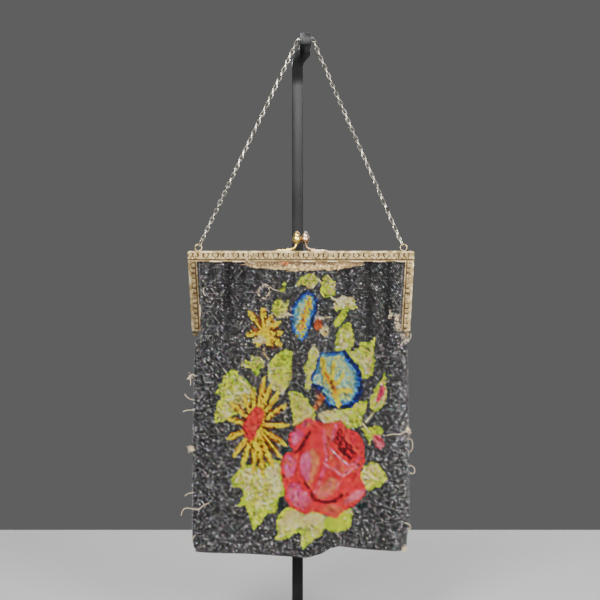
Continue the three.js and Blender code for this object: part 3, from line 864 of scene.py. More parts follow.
    def lift(self, face: np.ndarray, across: np.ndarray, share: np.ndarray) -> np.ndarray:
        """How far the folds lift a face of the cloth.

        Args:
            face: -1 for the front and 1 for the back.
            across: places across, from -1 to 1.
            share: heights as shares of the drop.

        Returns:
            The lift, in metres.
        """
        free = ease(self.tape_share - share, 0, 0.06) * ease(0.9 - np.abs(across), 0, 0.08)
        total = np.zeros_like(across)
        for fold in self.folds:
            over = (across - fold.across) / fold.breadth
            along = (share - fold.low) / (fold.high - fold.low)
            fade = ease(along, 0, 0.35) * ease(1 - along, 0, 0.1)
            total += (face == fold.face) * fold.out * self.depth * np.exp(-(over**2)) * fade
        return total * free * np.where(share > self.neck, 0.7, 1.0)

    def points(self, inset: Inset, face: np.ndarray, across: np.ndarray, share: np.ndarray) -> np.ndarray:
        """Points of the cloth.

        Args:
            inset: how far under the bag's skin.
            face: -1 for the front and 1 for the back.
            across: places across, from -1 to 1.
            share: heights as shares of the drop.

        Returns:
            One row of x, y and z for each.
        """
        half, deep, square = self.section(across, share)
        rise = np.interp(across, self.hem_places, self.hem_rises) * self.drop * (1 - share / self.top_share)
        bulge = np.sqrt(np.maximum(1 - np.abs(across) ** square, 0))
        y = (np.maximum(deep - inset, self.least_depth) + self.lift(face, across, share)) * bulge
        return np.column_stack([across * (half - inset), face * y, self.bottom + rise + share * self.drop])

    def loop(self, inset: float, share: float, columns: int) -> np.ndarray:
        """One round of the cloth, from its left edge over the front and back again.

        Args:
            inset: how far under the bag's skin.
            share: its height as a share of the drop.
            columns: the number of points on each face.

        Returns:
            One row of x, y and z for each point.
        """
        across = crowded(np.linspace(-1, 1, columns + 1)[:-1])
        both = np.concatenate([across, -across])
        face = np.repeat([-1, 1], columns)
        return self.points(inset, face, both, np.full(2 * columns, share))


def crowded(v: np.ndarray) -> np.ndarray:
    """Even places from -1 to 1, moved closer together towards both ends."""
    return 0.55 * v + 0.45 * np.sin(v * math.pi / 2)


def ease(value: np.ndarray, low: float, high: float) -> np.ndarray:
    """Rises smoothly from 0 to 1 between two values."""
    share = np.clip((value - low) / (high - low), 0, 1)
    return share * share * (3 - 2 * share)


LIMES: Shades = ((184, 212, 0), (140, 182, 4), (230, 238, 54), (206, 224, 24))
BEIGES: Shades = ((255, 228, 156), (236, 196, 112), (255, 242, 190), (240, 214, 124))
GOLDS: Shades = ((255, 224, 0), (255, 202, 0), (255, 242, 24), (255, 182, 0))
BROWNS: Shades = ((122, 54, 8), (84, 32, 10), (150, 76, 10), (104, 40, 30))
REDS: Shades = ((252, 44, 50), (228, 26, 44), (255, 86, 64), (240, 38, 68))
DEEP_REDS: Shades = ((120, 4, 22), (92, 4, 24), (152, 10, 30))
PINKS: Shades = ((244, 84, 146), (236, 56, 138), (250, 128, 160), (230, 60, 108))
CORALS: Shades = ((246, 108, 70), (236, 70, 62), (232, 152, 76), (246, 94, 106))
BLUSHES: Shades = ((252, 156, 176), (248, 120, 152), (240, 88, 130))
NAVIES: Shades = ((14, 20, 100), (10, 12, 64), (24, 40, 132))
BLUES: Shades = ((26, 82, 178), (48, 116, 196), (20, 60, 160))
SKIES: Shades = ((96, 172, 206), (70, 148, 196), (136, 200, 196), (60, 150, 170))
PALES: Shades = ((204, 218, 160), (140, 196, 180), (220, 222, 110), (110, 180, 180))
YELLOWS: Shades = ((250, 212, 0), (240, 184, 0), (226, 220, 40))
ORANGES: Shades = ((222, 110, 8), (200, 76, 12), (236, 146, 10))
TEALS: Shades = ((14, 40, 38), (30, 60, 56), (20, 26, 30))
CREAMS: Shades = ((232, 206, 150), (206, 174, 116))


class Chart:
    """The beads' places on the pattern, in squares of the chart, and the colour of each bead."""

    ground: float = 87
    ground_spread: float = 0.4
    darkest: float = 8
    gather_shade: float = 0.45
    gather_fade: float = 60
    # Painted light: the ground beads are painted lighter towards the bag's right edge, where more light
    # falls.
    painted_side_light: Points = ((200, 1.0), (385, 0.95), (405, 1.25))
    uneven: float = 0.22
    gather_lines: tuple[tuple[float, float, float], ...] = (
        (229, 5, 350), (243, 3, 320), (347, 3.5, 330), (369, 3.5, 370), (388, 4, 380), (212, 3, 300),
    )

    def __init__(self, at: np.ndarray, side: int, rng: np.random.Generator) -> None:
        """Places the beads on the chart and gives them their ground colours, with painted shade in the
        gathers and painted light towards the right edge.

        Args:
            at: the beads' places on the bag.
            side: -1 for the front and 1 for the back, which is read from behind.
            rng: the source of the beads' differences.
        """
        self.x = MIDDLE_COLUMN - side * at[:, 0] / SQUARE
        self.y = MIDDLE_ROW - (at[:, 2] - MIDDLE_HEIGHT) / SQUARE
        self.luck = rng.random(len(at))
        self.rng = rng
        level = self.ground * np.exp(self.ground_spread * rng.standard_normal(len(at)))
        # The gathers' painted shade and the painted light towards the right edge go into the ground beads'
        # colours.
        level = level * self.gathers() * np.interp(self.x, *zip(*self.painted_side_light))
        cast = rng.normal(0, 0.05, (len(at), 3)) + np.array([0.02, 0.0, 0.0])
        self.shade = np.clip(level[:, None], self.darkest, 230) * (1 + cast)
        self.steel = np.ones(len(at))

    def gathers(self) -> np.ndarray:
        """How much light the gathers under the frame leave each bead.

        Returns:
            One share of light for each bead.
        """
        light = np.ones(len(self.x))
        for column, breadth, low in self.gather_lines:
            over = np.exp(-(((self.x - column) / breadth) ** 2))
            light -= self.gather_shade * over * (1 - ease(self.y, low - self.gather_fade, low))
        return np.maximum(light, 0.3)

    def inside(self, outline: Sequence[Point]) -> np.ndarray:
        """Which beads lie inside an outline.

        Args:
            outline: its corners.

        Returns:
            The beads' mask.
        """
        hit = np.zeros(len(self.x), bool)
        before = outline[-1]
        for corner in outline:
            crosses = (corner[1] > self.y) != (before[1] > self.y)
            slope = (before[0] - corner[0]) / ((before[1] - corner[1]) or 1e-9)
            hit ^= crosses & (self.x < corner[0] + slope * (self.y - corner[1]))
            before = corner
        return hit

    def distance(self, line: Sequence[Point], closed: bool = False) -> np.ndarray:
        """How far each bead is from a line of points.

        Args:
            line: the points.
            closed: whether it runs back to its start.

        Returns:
            The distances, in squares.
        """
        points = [*line, line[0]] if closed else list(line)
        nearest = np.full(len(self.x), 1e9)
        for (ax, ay), (bx, by) in zip(points, points[1:]):
            dx, dy = bx - ax, by - ay
            along = ((self.x - ax) * dx + (self.y - ay) * dy) / (dx * dx + dy * dy)
            along = np.clip(along, 0, 1)
            gap = np.hypot(self.x - ax - along * dx, self.y - ay - along * dy)
            nearest = np.minimum(nearest, gap)
        return nearest

    def paint(self, mask: np.ndarray, shades: Sequence[Shade]) -> None:
        """Gives the beads under a mask one of some shades each, a little lighter or darker.

        Args:
            mask: the beads.
            shades: the shades.
        """
        pick = self.rng.integers(0, len(shades), len(self.x))
        lighter = 1 + self.rng.normal(0, self.uneven, len(self.x))
        drawn = np.array(shades, float)[pick] * lighter[:, None]
        self.shade[mask] = np.clip(drawn[mask], self.darkest, 255)
        self.steel[mask] = 0

    def tints(self) -> np.ndarray:
        """The beads' colours as shares of light."""
        return as_light(self.shade)


@dataclass(frozen=True)
class Leaf:
    """A toothed leaf, lime towards one side and along its rim, and beige for the rest."""

    outline: Points
    lime: Point = (0, -1)
    level: float = 0.0
    rim: float = 0.0
    mottle: float = 1.3
    lime_lead: float = 0.2

    def paint(self, chart: Chart) -> None:
        """Lays the leaf on the chart.

        Args:
            chart: the chart.
        """
        corners = np.array(self.outline)
        low, high = corners.min(0), corners.max(0)
        middle, reach = (low + high) / 2, np.hypot(*(high - low)) / 2
        length = math.hypot(*self.lime) or 1
        towards = ((chart.x - middle[0]) * self.lime[0] + (chart.y - middle[1]) * self.lime[1]) / length
        hit = chart.inside(self.outline)
        green = towards / reach + (chart.luck - 0.5) * self.mottle > self.level - self.lime_lead
        green |= chart.distance(self.outline, True) < self.rim * (0.5 + chart.luck * 1.4)
        chart.paint(hit, BEIGES)
        chart.paint(hit & green, LIMES)


@dataclass(frozen=True)
class Patch:
    """A patch of mixed shades, with a blended edge if it is soft."""

    outline: Points
    shades: Shades
    soft: float = 0.0

    def paint(self, chart: Chart) -> None:
        """Lays the patch on the chart.

        Args:
            chart: the chart.
        """
        hit = chart.inside(self.outline)
        if self.soft:
            hit &= chart.distance(self.outline, True) > self.soft * chart.luck
        chart.paint(hit, self.shades)


@dataclass(frozen=True)
class Stroke:
    """A line of beads."""

    line: Points
    breadth: float
    shades: Shades

    def paint(self, chart: Chart) -> None:
        """Lays the stroke on the chart."""
        reach = self.breadth / 2 * (0.75 + 0.5 * chart.luck)
        chart.paint(chart.distance(self.line) < reach, self.shades)


@dataclass(frozen=True)
class Daisy:
    """A daisy of narrow golden petals shaded brown, round an oval eye."""

    middle: Point
    tips: Points
    breadth: float
    eye: Points
    eye_shades: Shades
    brown_breadth: float = 0.6
    brown_length: float = 0.8

    def paint(self, chart: Chart) -> None:
        """Lays the petals and then the eye on the chart.

        Args:
            chart: the chart.
        """
        for shaded in (True, False):
            for tip in self.tips:
                self.petal(chart, tip, shaded)
        chart.paint(chart.inside(self.eye), self.eye_shades)

    def petal(self, chart: Chart, tip: Point, shaded: bool) -> None:
        """Lays one petal, from the middle to its tip, or the brown that shows beside it.

        Args:
            chart: the chart.
            tip: the petal's point.
            shaded: whether this is the brown.
        """
        dx, dy = tip[0] - self.middle[0], tip[1] - self.middle[1]
        length = math.hypot(dx, dy)
        along = ((chart.x - self.middle[0]) * dx + (chart.y - self.middle[1]) * dy) / length**2
        over = ((chart.x - self.middle[0]) * -dy + (chart.y - self.middle[1]) * dx) / length
        inside = (along > 0) & (along < 1)
        share = np.clip(along, 0, 1)
        half = self.breadth * (0.4 + 0.6 * share**0.6) * np.sqrt(1 - share**10) / 2
        if shaded:
            brown = (np.abs(over) < self.breadth * self.brown_breadth) & (along < self.brown_length)
            chart.paint(inside & brown, BROWNS)
            return
        gold = inside & (np.abs(over) < half)
        chart.paint(gold, GOLDS)
        stripe = gold & (over > half * 0.3) & (over < half * 0.8) & (share < 0.85)
        chart.paint(stripe & (chart.luck > 0.45), BROWNS[:3])


@dataclass(frozen=True)
class MorningGlory:
    """A trumpet flower: a navy rim, blue and sky rings inside it, and a pale throat."""

    outline: Points
    rings: tuple[float, float, float]
    streaks: tuple[Stroke, ...]
    heavy: Point = (0, 0)
    shift: float = 3
    mottle: float = 2.2

    def paint(self, chart: Chart) -> None:
        """Lays the rings and then the streaks on the chart.

        Args:
            chart: the chart.
        """
        corners = np.array(self.outline)
        middle = corners.mean(0)
        reach = np.hypot(*(corners - middle).T).max()
        side = ((chart.x - middle[0]) * self.heavy[0] + (chart.y - middle[1]) * self.heavy[1]) / reach
        depth = chart.distance(self.outline, True) - side * self.shift + (chart.luck - 0.5) * self.mottle
        hit = chart.inside(self.outline)
        chart.paint(hit, NAVIES)
        for ring_depth, shades in zip(self.rings, (BLUES, SKIES, PALES)):
            chart.paint(hit & (depth > ring_depth), shades)
        for streak in self.streaks:
            streak.paint(chart)


BACKGROUND_LEAVES = (
    Leaf(((294.6, 286.5), (299.3, 279), (306.7, 274.5), (311.3, 272.6), (315, 276.3), (317, 280), (317, 285),
        (312.2, 288.8), (308.5, 288), (305.7, 285), (301, 286)), (-0.3, -1), -0.05),
    Stroke(((316.8, 278.5), (321, 283.5)), 2.0, BEIGES),
    Leaf(((325, 273.5), (330.7, 278), (335.5, 282), (335.5, 288.5), (334.4, 294.8), (329.8, 297),
        (322.4, 297), (320, 293), (321.3, 286.5), (323.3, 279)), (-1, 0.25), 0.0),
    Stroke(((331.5, 297.5), (336.3, 300.5)), 2.2, BEIGES),
    Leaf(((284, 280.3), (286.6, 283.5), (285.6, 288), (283.2, 293.2), (281, 291.5), (278.8, 289.5),
        (282, 288)), (0, -1), -1.0),
    Leaf(((277, 299.3), (282, 299), (284, 303), (289.7, 298.8), (287.6, 306), (288, 312), (284, 317.8),
        (279, 318.6), (275, 316), (271.3, 311.5), (272.8, 304.5)), (-0.8, -0.7), 0.02),
    Leaf(((332.6, 308.7), (333.5, 303.8), (338, 298.3), (342.7, 295.8), (349.2, 296.7), (353.8, 297.3),
        (354.8, 302.2), (357, 307), (353.8, 310.8), (349, 309), (341.8, 309.4), (336.3, 310.8)), (0.3, 1),
        0.6),
    Leaf(((341.8, 308.4), (350.4, 306.8), (347.6, 312.6), (344.8, 319.8), (339.2, 325.6), (335.2, 328.2),
        (333.2, 323.6), (336, 318), (339.6, 312.6)), (0, 1), -1.0),
    Leaf(((343.7, 324.2), (350.4, 321.5), (351.2, 328), (353.2, 336.5), (354, 344.8), (349.8, 350),
        (345.5, 350.4), (340, 350.4), (334.2, 351.8), (335, 343.9), (336, 335.5), (338.8, 329)), (0.8, -0.6),
        0.3, 2.2),
    Leaf(((375.2, 336.2), (370.8, 341), (361.2, 342), (357.5, 347.4), (353.6, 351), (346, 350), (349, 356),
        (354.6, 361.4), (358.3, 366), (361.8, 372.5), (361.8, 378.6), (366, 378.6), (371.6, 374.6),
        (372.6, 368), (374.6, 360.5), (373.6, 351.3), (374.4, 342)), (0.6, -0.8), 0.5, 2.4),
    Leaf(((314, 343.7), (318, 349.4), (319, 355), (317, 364.2), (315, 369.8), (311.3, 377.2), (312.2, 387.5),
        (307.6, 389.6), (304.6, 386.6), (306.5, 377.2), (303.6, 368), (305.5, 362.4), (308.3, 359.4),
        (308.3, 351)), (-1, 0), 0.06),
    Stroke(((263.3, 349.5), (266, 355), (269.4, 360)), 1.6, BEIGES),
    Leaf(((251.3, 354.8), (257, 356), (260.5, 357), (264.4, 360.5), (264.4, 366), (260.5, 369.2),
        (256.8, 375.6), (252, 371.2), (251, 368), (242, 365.4), (241.6, 361.4), (246, 360), (251.3, 361)),
        (-0.2, 1), 0.0),
    Leaf(((293.4, 351.3), (285.5, 348.3), (279, 352.8), (273.5, 356.8), (269, 362.3), (267.8, 370),
        (268.4, 378), (272, 388), (281.8, 393.5), (288.2, 385.2), (291.2, 379), (292.2, 365), (291.2, 360.5)),
        (0.75, -0.66), 0.0),
    Leaf(((232.8, 368.6), (237.6, 370.6), (240.2, 375.2), (245, 378), (249.6, 382.6), (256, 388), (252, 404),
        (238, 412), (228.4, 419.2), (221, 421), (214.8, 423.6), (215.8, 413), (216.8, 404), (221.6, 398.5),
        (221.4, 394.4), (214, 392.2), (219.6, 389), (218.7, 384.3), (223.3, 381.6), (223.3, 376.8),
        (227, 372.3)), (-0.75, -0.66), 0.34, 2.0),
    Leaf(((288.2, 391.6), (291, 390.6), (297, 390.6), (303, 394), (308, 399.8), (313, 406.8), (315.8, 413),
        (314.4, 419), (308.5, 418.5), (303, 422), (297.5, 427), (293.4, 424), (292.8, 414), (291, 405)),
        (-0.9, 0.2), 0.3, 2.0),
    Leaf(((316.4, 415.4), (321, 412), (327, 410), (336, 408.2), (344, 408.8), (351, 406.6), (354, 402.6),
        (360.3, 400), (367.2, 400), (366, 406), (364.4, 411), (361.2, 421.7), (356.6, 426.2), (350, 428),
        (344.6, 426.5), (340, 421.5), (329, 423), (323.3, 422.4)), (1, 0.2), 0.28),
    Leaf(((243, 462), (240.5, 468.5), (230.6, 478), (233.5, 485.8), (239.8, 485.6), (244.4, 492),
        (237.9, 505.4), (246.2, 504.2), (249, 514), (254, 529.4), (260.7, 522.6), (266.2, 514),
        (269.8, 511.6), (276.2, 511.6), (277.2, 505), (279.2, 495.8), (284, 494), (285, 488), (287.8, 481.8),
        (282.5, 474.4), (281.5, 460.5), (275, 458), (258, 466)), (-0.5, 0.85), 0.25, 2.6),
    Leaf(((286.4, 506.6), (278, 516), (276, 524.3), (277.8, 532.7), (273.9, 539.6), (283.6, 538.6),
        (288.5, 536.8), (294, 533), (299.4, 529.5), (301, 534.5), (300.8, 543.8), (302.6, 549), (308.8, 543),
        (314.2, 538.4), (321.6, 534.8), (324.4, 528.4), (327, 517), (320, 509), (305, 510), (296, 507)),
        (0.1, 1), 0.4, 2.4),
    Leaf(((341.8, 505.6), (350.2, 504.8), (352.4, 512.3), (350.4, 524.3), (347.6, 528.4), (334.4, 532.2),
        (329.6, 530.6), (324, 527), (326, 515), (336, 515)), (0.1, 0.5), -0.3),
    Leaf(((371.4, 460.2), (379, 464), (382.8, 469.8), (387.6, 478), (380.9, 484.9), (373.5, 486.8),
        (368.6, 490.6), (363.6, 486.4), (360.8, 479), (360.2, 471.6), (363, 466)), (0.5, 0.6), 0.15, 1.8),
)

STAR = Daisy(
    (264.8, 332),
    ((248.8, 310.6), (263.2, 307), (272, 314.6), (280, 321), (283.4, 333), (282.2, 345.8), (271, 348),
        (257.4, 346.6), (246, 334.2)),
    6.2,
    ((260.5, 332), (264.5, 328.5), (267.5, 331), (267, 335.5), (263, 337)),
    GOLDS,
)
STAR_DETAILS = (
    Patch(((257, 336), (262, 335), (266, 338), (266.5, 343), (262, 344), (257.5, 341)), BEIGES),
    Patch(((266.5, 322), (270, 321), (271.5, 325), (268, 327.5)), BEIGES),
    Patch(((252, 339), (256, 337), (257.5, 341), (253.5, 343.5)), BEIGES),
    Stroke(((272, 329), (277, 333)), 2.4, BROWNS),
    Stroke(((252, 326), (255, 331)), 2.4, BROWNS),
    Stroke(((264, 318), (266, 322)), 2.4, BROWNS),
    Stroke(((266, 346.5), (278, 347.5)), 1.8, BROWNS),
)

GREAT_DAISY = Daisy(
    (256, 425),
    ((230.6, 400.4), (243.2, 392.4), (253, 386.4), (264.8, 376.2), (271.8, 382.6), (279.2, 391.8),
        (287, 403.4), (289.4, 424), (287, 444.4), (281.6, 457), (273.8, 467.4), (263.8, 477.4),
        (253.4, 473.6), (242, 465.4), (233.2, 456.2), (226.6, 438.6), (227.4, 418)),
    5.4,
    ((256.7, 405.3), (263.2, 408.6), (265, 414.4), (261.5, 422.5), (257.6, 429.5), (256.6, 434),
        (249.8, 440.8), (246, 436.3), (242.9, 427.7), (243.8, 420.8), (249.4, 413.4)),
    ((222, 34, 36), (236, 60, 44), (226, 50, 74), (230, 84, 70)),
)

FLOWERS = (
    MorningGlory(
        ((305.7, 290.6), (312, 291.6), (317, 296.5), (318.2, 304), (317, 311), (314, 318.4), (310.6, 327.4),
            (307.6, 335), (303, 341.4), (297.2, 339.4), (293.4, 333), (291.5, 325.4), (291.3, 316),
            (291.6, 309), (294.4, 302.4), (298.3, 297)),
        (1.3, 3.3, 5.3),
        (
            Stroke(
                ((309.6, 299), (306, 311), (303.4, 321), (300, 334)), 8.4, YELLOWS + PALES[2:3] + SKIES[:1],
            ),
            Stroke(((309, 303), (305.4, 313), (302, 328)), 4.0, YELLOWS[:2] + ORANGES[:1] + REDS[2:3]),
        ),
        (0.5, -0.4),
    ),
    Patch(((313.6, 323.4), (316.8, 317.6), (321.8, 321.5), (322, 327.4), (317, 331.4), (314, 328)),
        ((206, 92, 26), (180, 66, 24), (150, 52, 26))),
    Patch(((321.3, 327.4), (327, 325.2), (329.4, 330), (328.2, 335), (323.3, 336), (319.6, 331.2)), BEIGES +
        ((222, 180, 90),)),
    Stroke(((316.8, 317.6), (323, 318), (329.8, 316.6)), 1.4, CREAMS),
    MorningGlory(
        ((319, 353.6), (323, 351.4), (329.8, 352), (337, 350.6), (343.8, 349.8), (347.8, 354.6), (353.2, 362),
            (358.8, 366.8), (360.8, 373.5), (361.8, 381.8), (362.2, 391), (358, 400.6), (351.2, 407.2),
            (341.8, 407.4), (332.6, 408.2), (326.6, 404.4), (323.6, 397.5), (321.8, 391.2), (312.4, 386),
            (310.8, 376.2), (314.6, 370.7), (316.4, 363.3)),
        (2.2, 4.2, 6.6),
        (
            Stroke(((322.4, 360), (324.4, 372), (333.5, 387), (338.6, 404)), 6.0, YELLOWS),
            Stroke(((333.8, 361), (332.6, 374), (334, 386)), 3.6, YELLOWS),
            Stroke(((343.2, 374.8), (337, 383)), 3.4, YELLOWS),
            Stroke(((349.8, 390.4), (338, 391)), 4.6, YELLOWS),
            Stroke(((324, 371), (330.4, 382.4), (335, 391)), 2.8, ORANGES),
            Stroke(((330, 381), (333, 387.6)), 2.6, ((150, 74, 30), (120, 56, 26))),
            Stroke(((316, 378), (321, 382)), 6.0, PALES),
            Stroke(((312.6, 385.4), (321.6, 387.4)), 3.0, NAVIES),
            Stroke(((323, 390), (333.6, 403)), 3.4, SKIES),
        ),
        (0.85, 0.35),
    ),
    Patch(((317.4, 392), (322.4, 392.6), (324.4, 397.5), (322, 402), (319.4, 406), (316, 409.8), (313, 406),
        (316, 400.6)), ((184, 84, 38), (206, 126, 62), (146, 58, 36), (222, 160, 96))),
    Patch(((315.6, 391), (318.6, 389.4), (320, 393), (317, 395)), ((80, 34, 70), (110, 40, 60))),
)

ROSE = (
    Patch(((308.5, 416.6), (317.8, 420.4), (327, 422.2), (340, 419.4), (345.7, 427.6), (353, 429.8),
        (360.5, 434.4), (363.4, 442), (363.2, 451), (364.6, 460.5), (360, 469.8), (360.8, 478), (365, 485.5),
        (364.6, 493.4), (355.2, 503.4), (342.2, 511), (335.3, 517.6), (328.6, 515.6), (320.5, 512),
        (312.2, 510), (305.7, 513), (299, 510.2), (290, 505.4), (285.2, 497.5), (285, 490), (283.2, 483.6),
        (281.3, 474.4), (280.3, 464.2), (282.2, 456.8), (286.4, 451.8), (293.4, 449.8), (289.4, 443),
        (288.2, 437.4), (291.6, 429.8), (297.2, 425), (304.6, 418)), REDS),
    Patch(((302, 422), (308, 418.6), (312, 421), (309, 426), (304, 428), (300, 426.6)), CORALS + PINKS, 1.0),
    Patch(((290, 437), (293, 431), (298, 427.5), (303, 430), (303.6, 435), (300, 440.4), (295, 443.8),
        (291, 442)), PINKS, 1.0),
    Patch(((283.6, 457), (289, 453.5), (295, 456), (296.8, 463), (295, 471), (291, 478), (286, 477),
        (283, 470), (282, 462)), PINKS + CORALS[:1], 1.0),
    Patch(((301, 455), (306, 449.5), (313, 446.5), (318, 452), (319.6, 460), (318.6, 470), (315, 478),
        (310, 485), (305, 482), (301, 474), (299, 464)), CORALS + ((206, 150, 84),), 1.0),
    Patch(((301, 455), (306, 450), (310, 450), (311.4, 460), (311, 470), (308.6, 480), (305, 481), (301, 474),
        (299, 464)), PINKS, 1.0),
    Patch(((287, 484), (293, 480.5), (299, 482), (304, 489), (310, 494.5), (312, 500), (309, 506),
        (303, 509.5), (296, 506), (290, 500), (287, 493)), PINKS + CORALS[:1], 1.0),
    Patch(((316, 493), (320, 486), (325, 480), (331, 476), (337, 478), (340, 482), (337, 488), (331, 493.4),
        (325, 497.4), (318, 498)), CORALS + ((214, 158, 92), (232, 120, 140)), 1.0),
    Patch(((329, 452), (334, 449), (341, 455), (348, 461), (355, 461), (361, 456.5), (363, 460), (357, 467),
        (350, 472), (343, 475), (336, 469), (330, 462), (327.5, 456)), CORALS + REDS, 1.0),
    Patch(((343, 499), (348, 494), (356, 489.5), (363.4, 486.5), (364, 492), (358, 497), (350, 501),
        (344, 502)), ((240, 124, 140), (236, 96, 110))),
    Patch(((322, 506), (328, 502), (336, 503), (342, 507), (340, 511), (335.3, 516), (329, 514.5),
        (323, 511)), CORALS, 1.0),
    Patch(((324, 424), (331, 422.5), (338, 421.5), (338, 428), (333, 440), (329, 446), (325, 440),
        (323, 432)), CORALS[:2] + REDS[2:], 1.0),
    Patch(((336, 433), (340, 423.5), (341, 431), (346, 440), (352, 447), (355, 453), (352, 459), (346, 456),
        (340, 450), (335.5, 444), (333.5, 440)), DEEP_REDS + REDS[1:2]),
    Stroke(((297.3, 450.5), (300.6, 446), (305.6, 439), (309.6, 431)), 2.8, DEEP_REDS),
    Stroke(((297.5, 450.5), (299, 457), (297.8, 465), (300, 474), (305, 482)), 2.2, REDS[:2]),
    Stroke(((305, 482), (309, 489), (313, 496)), 3.0, DEEP_REDS),
    Stroke(((309, 489), (315, 483), (320.5, 474), (321.5, 462), (320.5, 452), (318, 446)), 2.6, REDS),
    Stroke(((313, 497), (319, 500), (326, 501), (334, 500), (341, 494)), 2.8, DEEP_REDS),
    Stroke(((283, 479), (288, 481.4), (294, 479.6), (298, 481)), 1.8, REDS[:2]),
    Stroke(((323.3, 430), (325.2, 446.6), (326, 456.8), (324.2, 468), (320.5, 477)), 2.4, PINKS),
    Stroke(((320.5, 477), (317.4, 485), (314.8, 491)), 1.8, BLUSHES),
    Stroke(((329.8, 447.6), (334.4, 453), (341.8, 460.5), (349.2, 464.2), (354.8, 462.4)), 2.0, BLUSHES),
    Stroke(((354.8, 462.4), (360.3, 456.8)), 2.0, PINKS),
    Stroke(((327, 464.2), (333, 468), (342.7, 475), (350, 469.8), (357.5, 464.2)), 1.9, BLUSHES),
    Stroke(((332, 440), (333.5, 430), (337, 424)), 1.8, PINKS),
)

BUDS = (
    Stroke(((376, 408), (369.6, 416.6), (360.6, 424.6)), 2.0, BEIGES),
    Leaf(((386.6, 377.6), (384, 381.6), (386.8, 387.3), (386, 397.5), (383, 405), (378, 409.6), (372, 412),
        (369.6, 404.6), (370.2, 397.5), (373.8, 388.3), (377.6, 382.7), (381, 380), (383, 372.8)),
        (-0.7, -0.3), 0.15, 1.4),
    Patch(((382.4, 384.6), (384.6, 386.6), (384.2, 392), (381.6, 398.4), (378, 401), (375.8, 399.6),
        (376.6, 393.6), (379.4, 387.6)), ((226, 40, 80), (206, 30, 62), (236, 84, 110))),
    Stroke(((383.5, 373), (384.2, 380)), 1.5, LIMES),
    Stroke(((391, 374.5), (386, 381.4)), 1.4, LIMES),
    Leaf(((361.6, 427), (369.6, 426), (376, 425), (382, 426.2), (383, 433), (378.8, 434.6), (373.3, 436),
        (369.2, 443), (366, 438), (363.4, 432.6)), (0.2, -1), -0.5),
    Stroke(((364, 424), (366, 428), (370, 432)), 1.8, BEIGES),
    Patch(((372.4, 435.6), (376, 432.8), (380.4, 435), (383.6, 440), (383.6, 446), (380, 448.6), (376, 446),
        (372.6, 441)), ((226, 60, 84), (236, 120, 130), (206, 40, 66))),
)

SHADOWS = (
    Patch(((278, 497), (283.4, 495), (284, 505), (279.6, 509)), TEALS),
    Patch(((282, 445), (290, 447.6), (286, 452.4), (281.4, 455)), TEALS),
    Patch(((357, 505), (364, 500.6), (365.6, 504), (359.6, 508)), TEALS),
)

BOUQUET = (*SHADOWS, *BACKGROUND_LEAVES, STAR, *STAR_DETAILS, *FLOWERS, GREAT_DAISY, *ROSE, *BUDS)


def bouquet(at: np.ndarray, side: int, rng: np.random.Generator) -> Chart:
    """Charts beads on one side of the bag, and paints the whole bouquet on them.

    Args:
        at: the beads' places on the bag.
        side: -1 for the front and 1 for the back.
        rng: the source of the beads' differences.

    Returns:
        The painted chart.
    """
    chart = Chart(at, side, rng)
    for motif in BOUQUET:
        motif.paint(chart)
    return chart


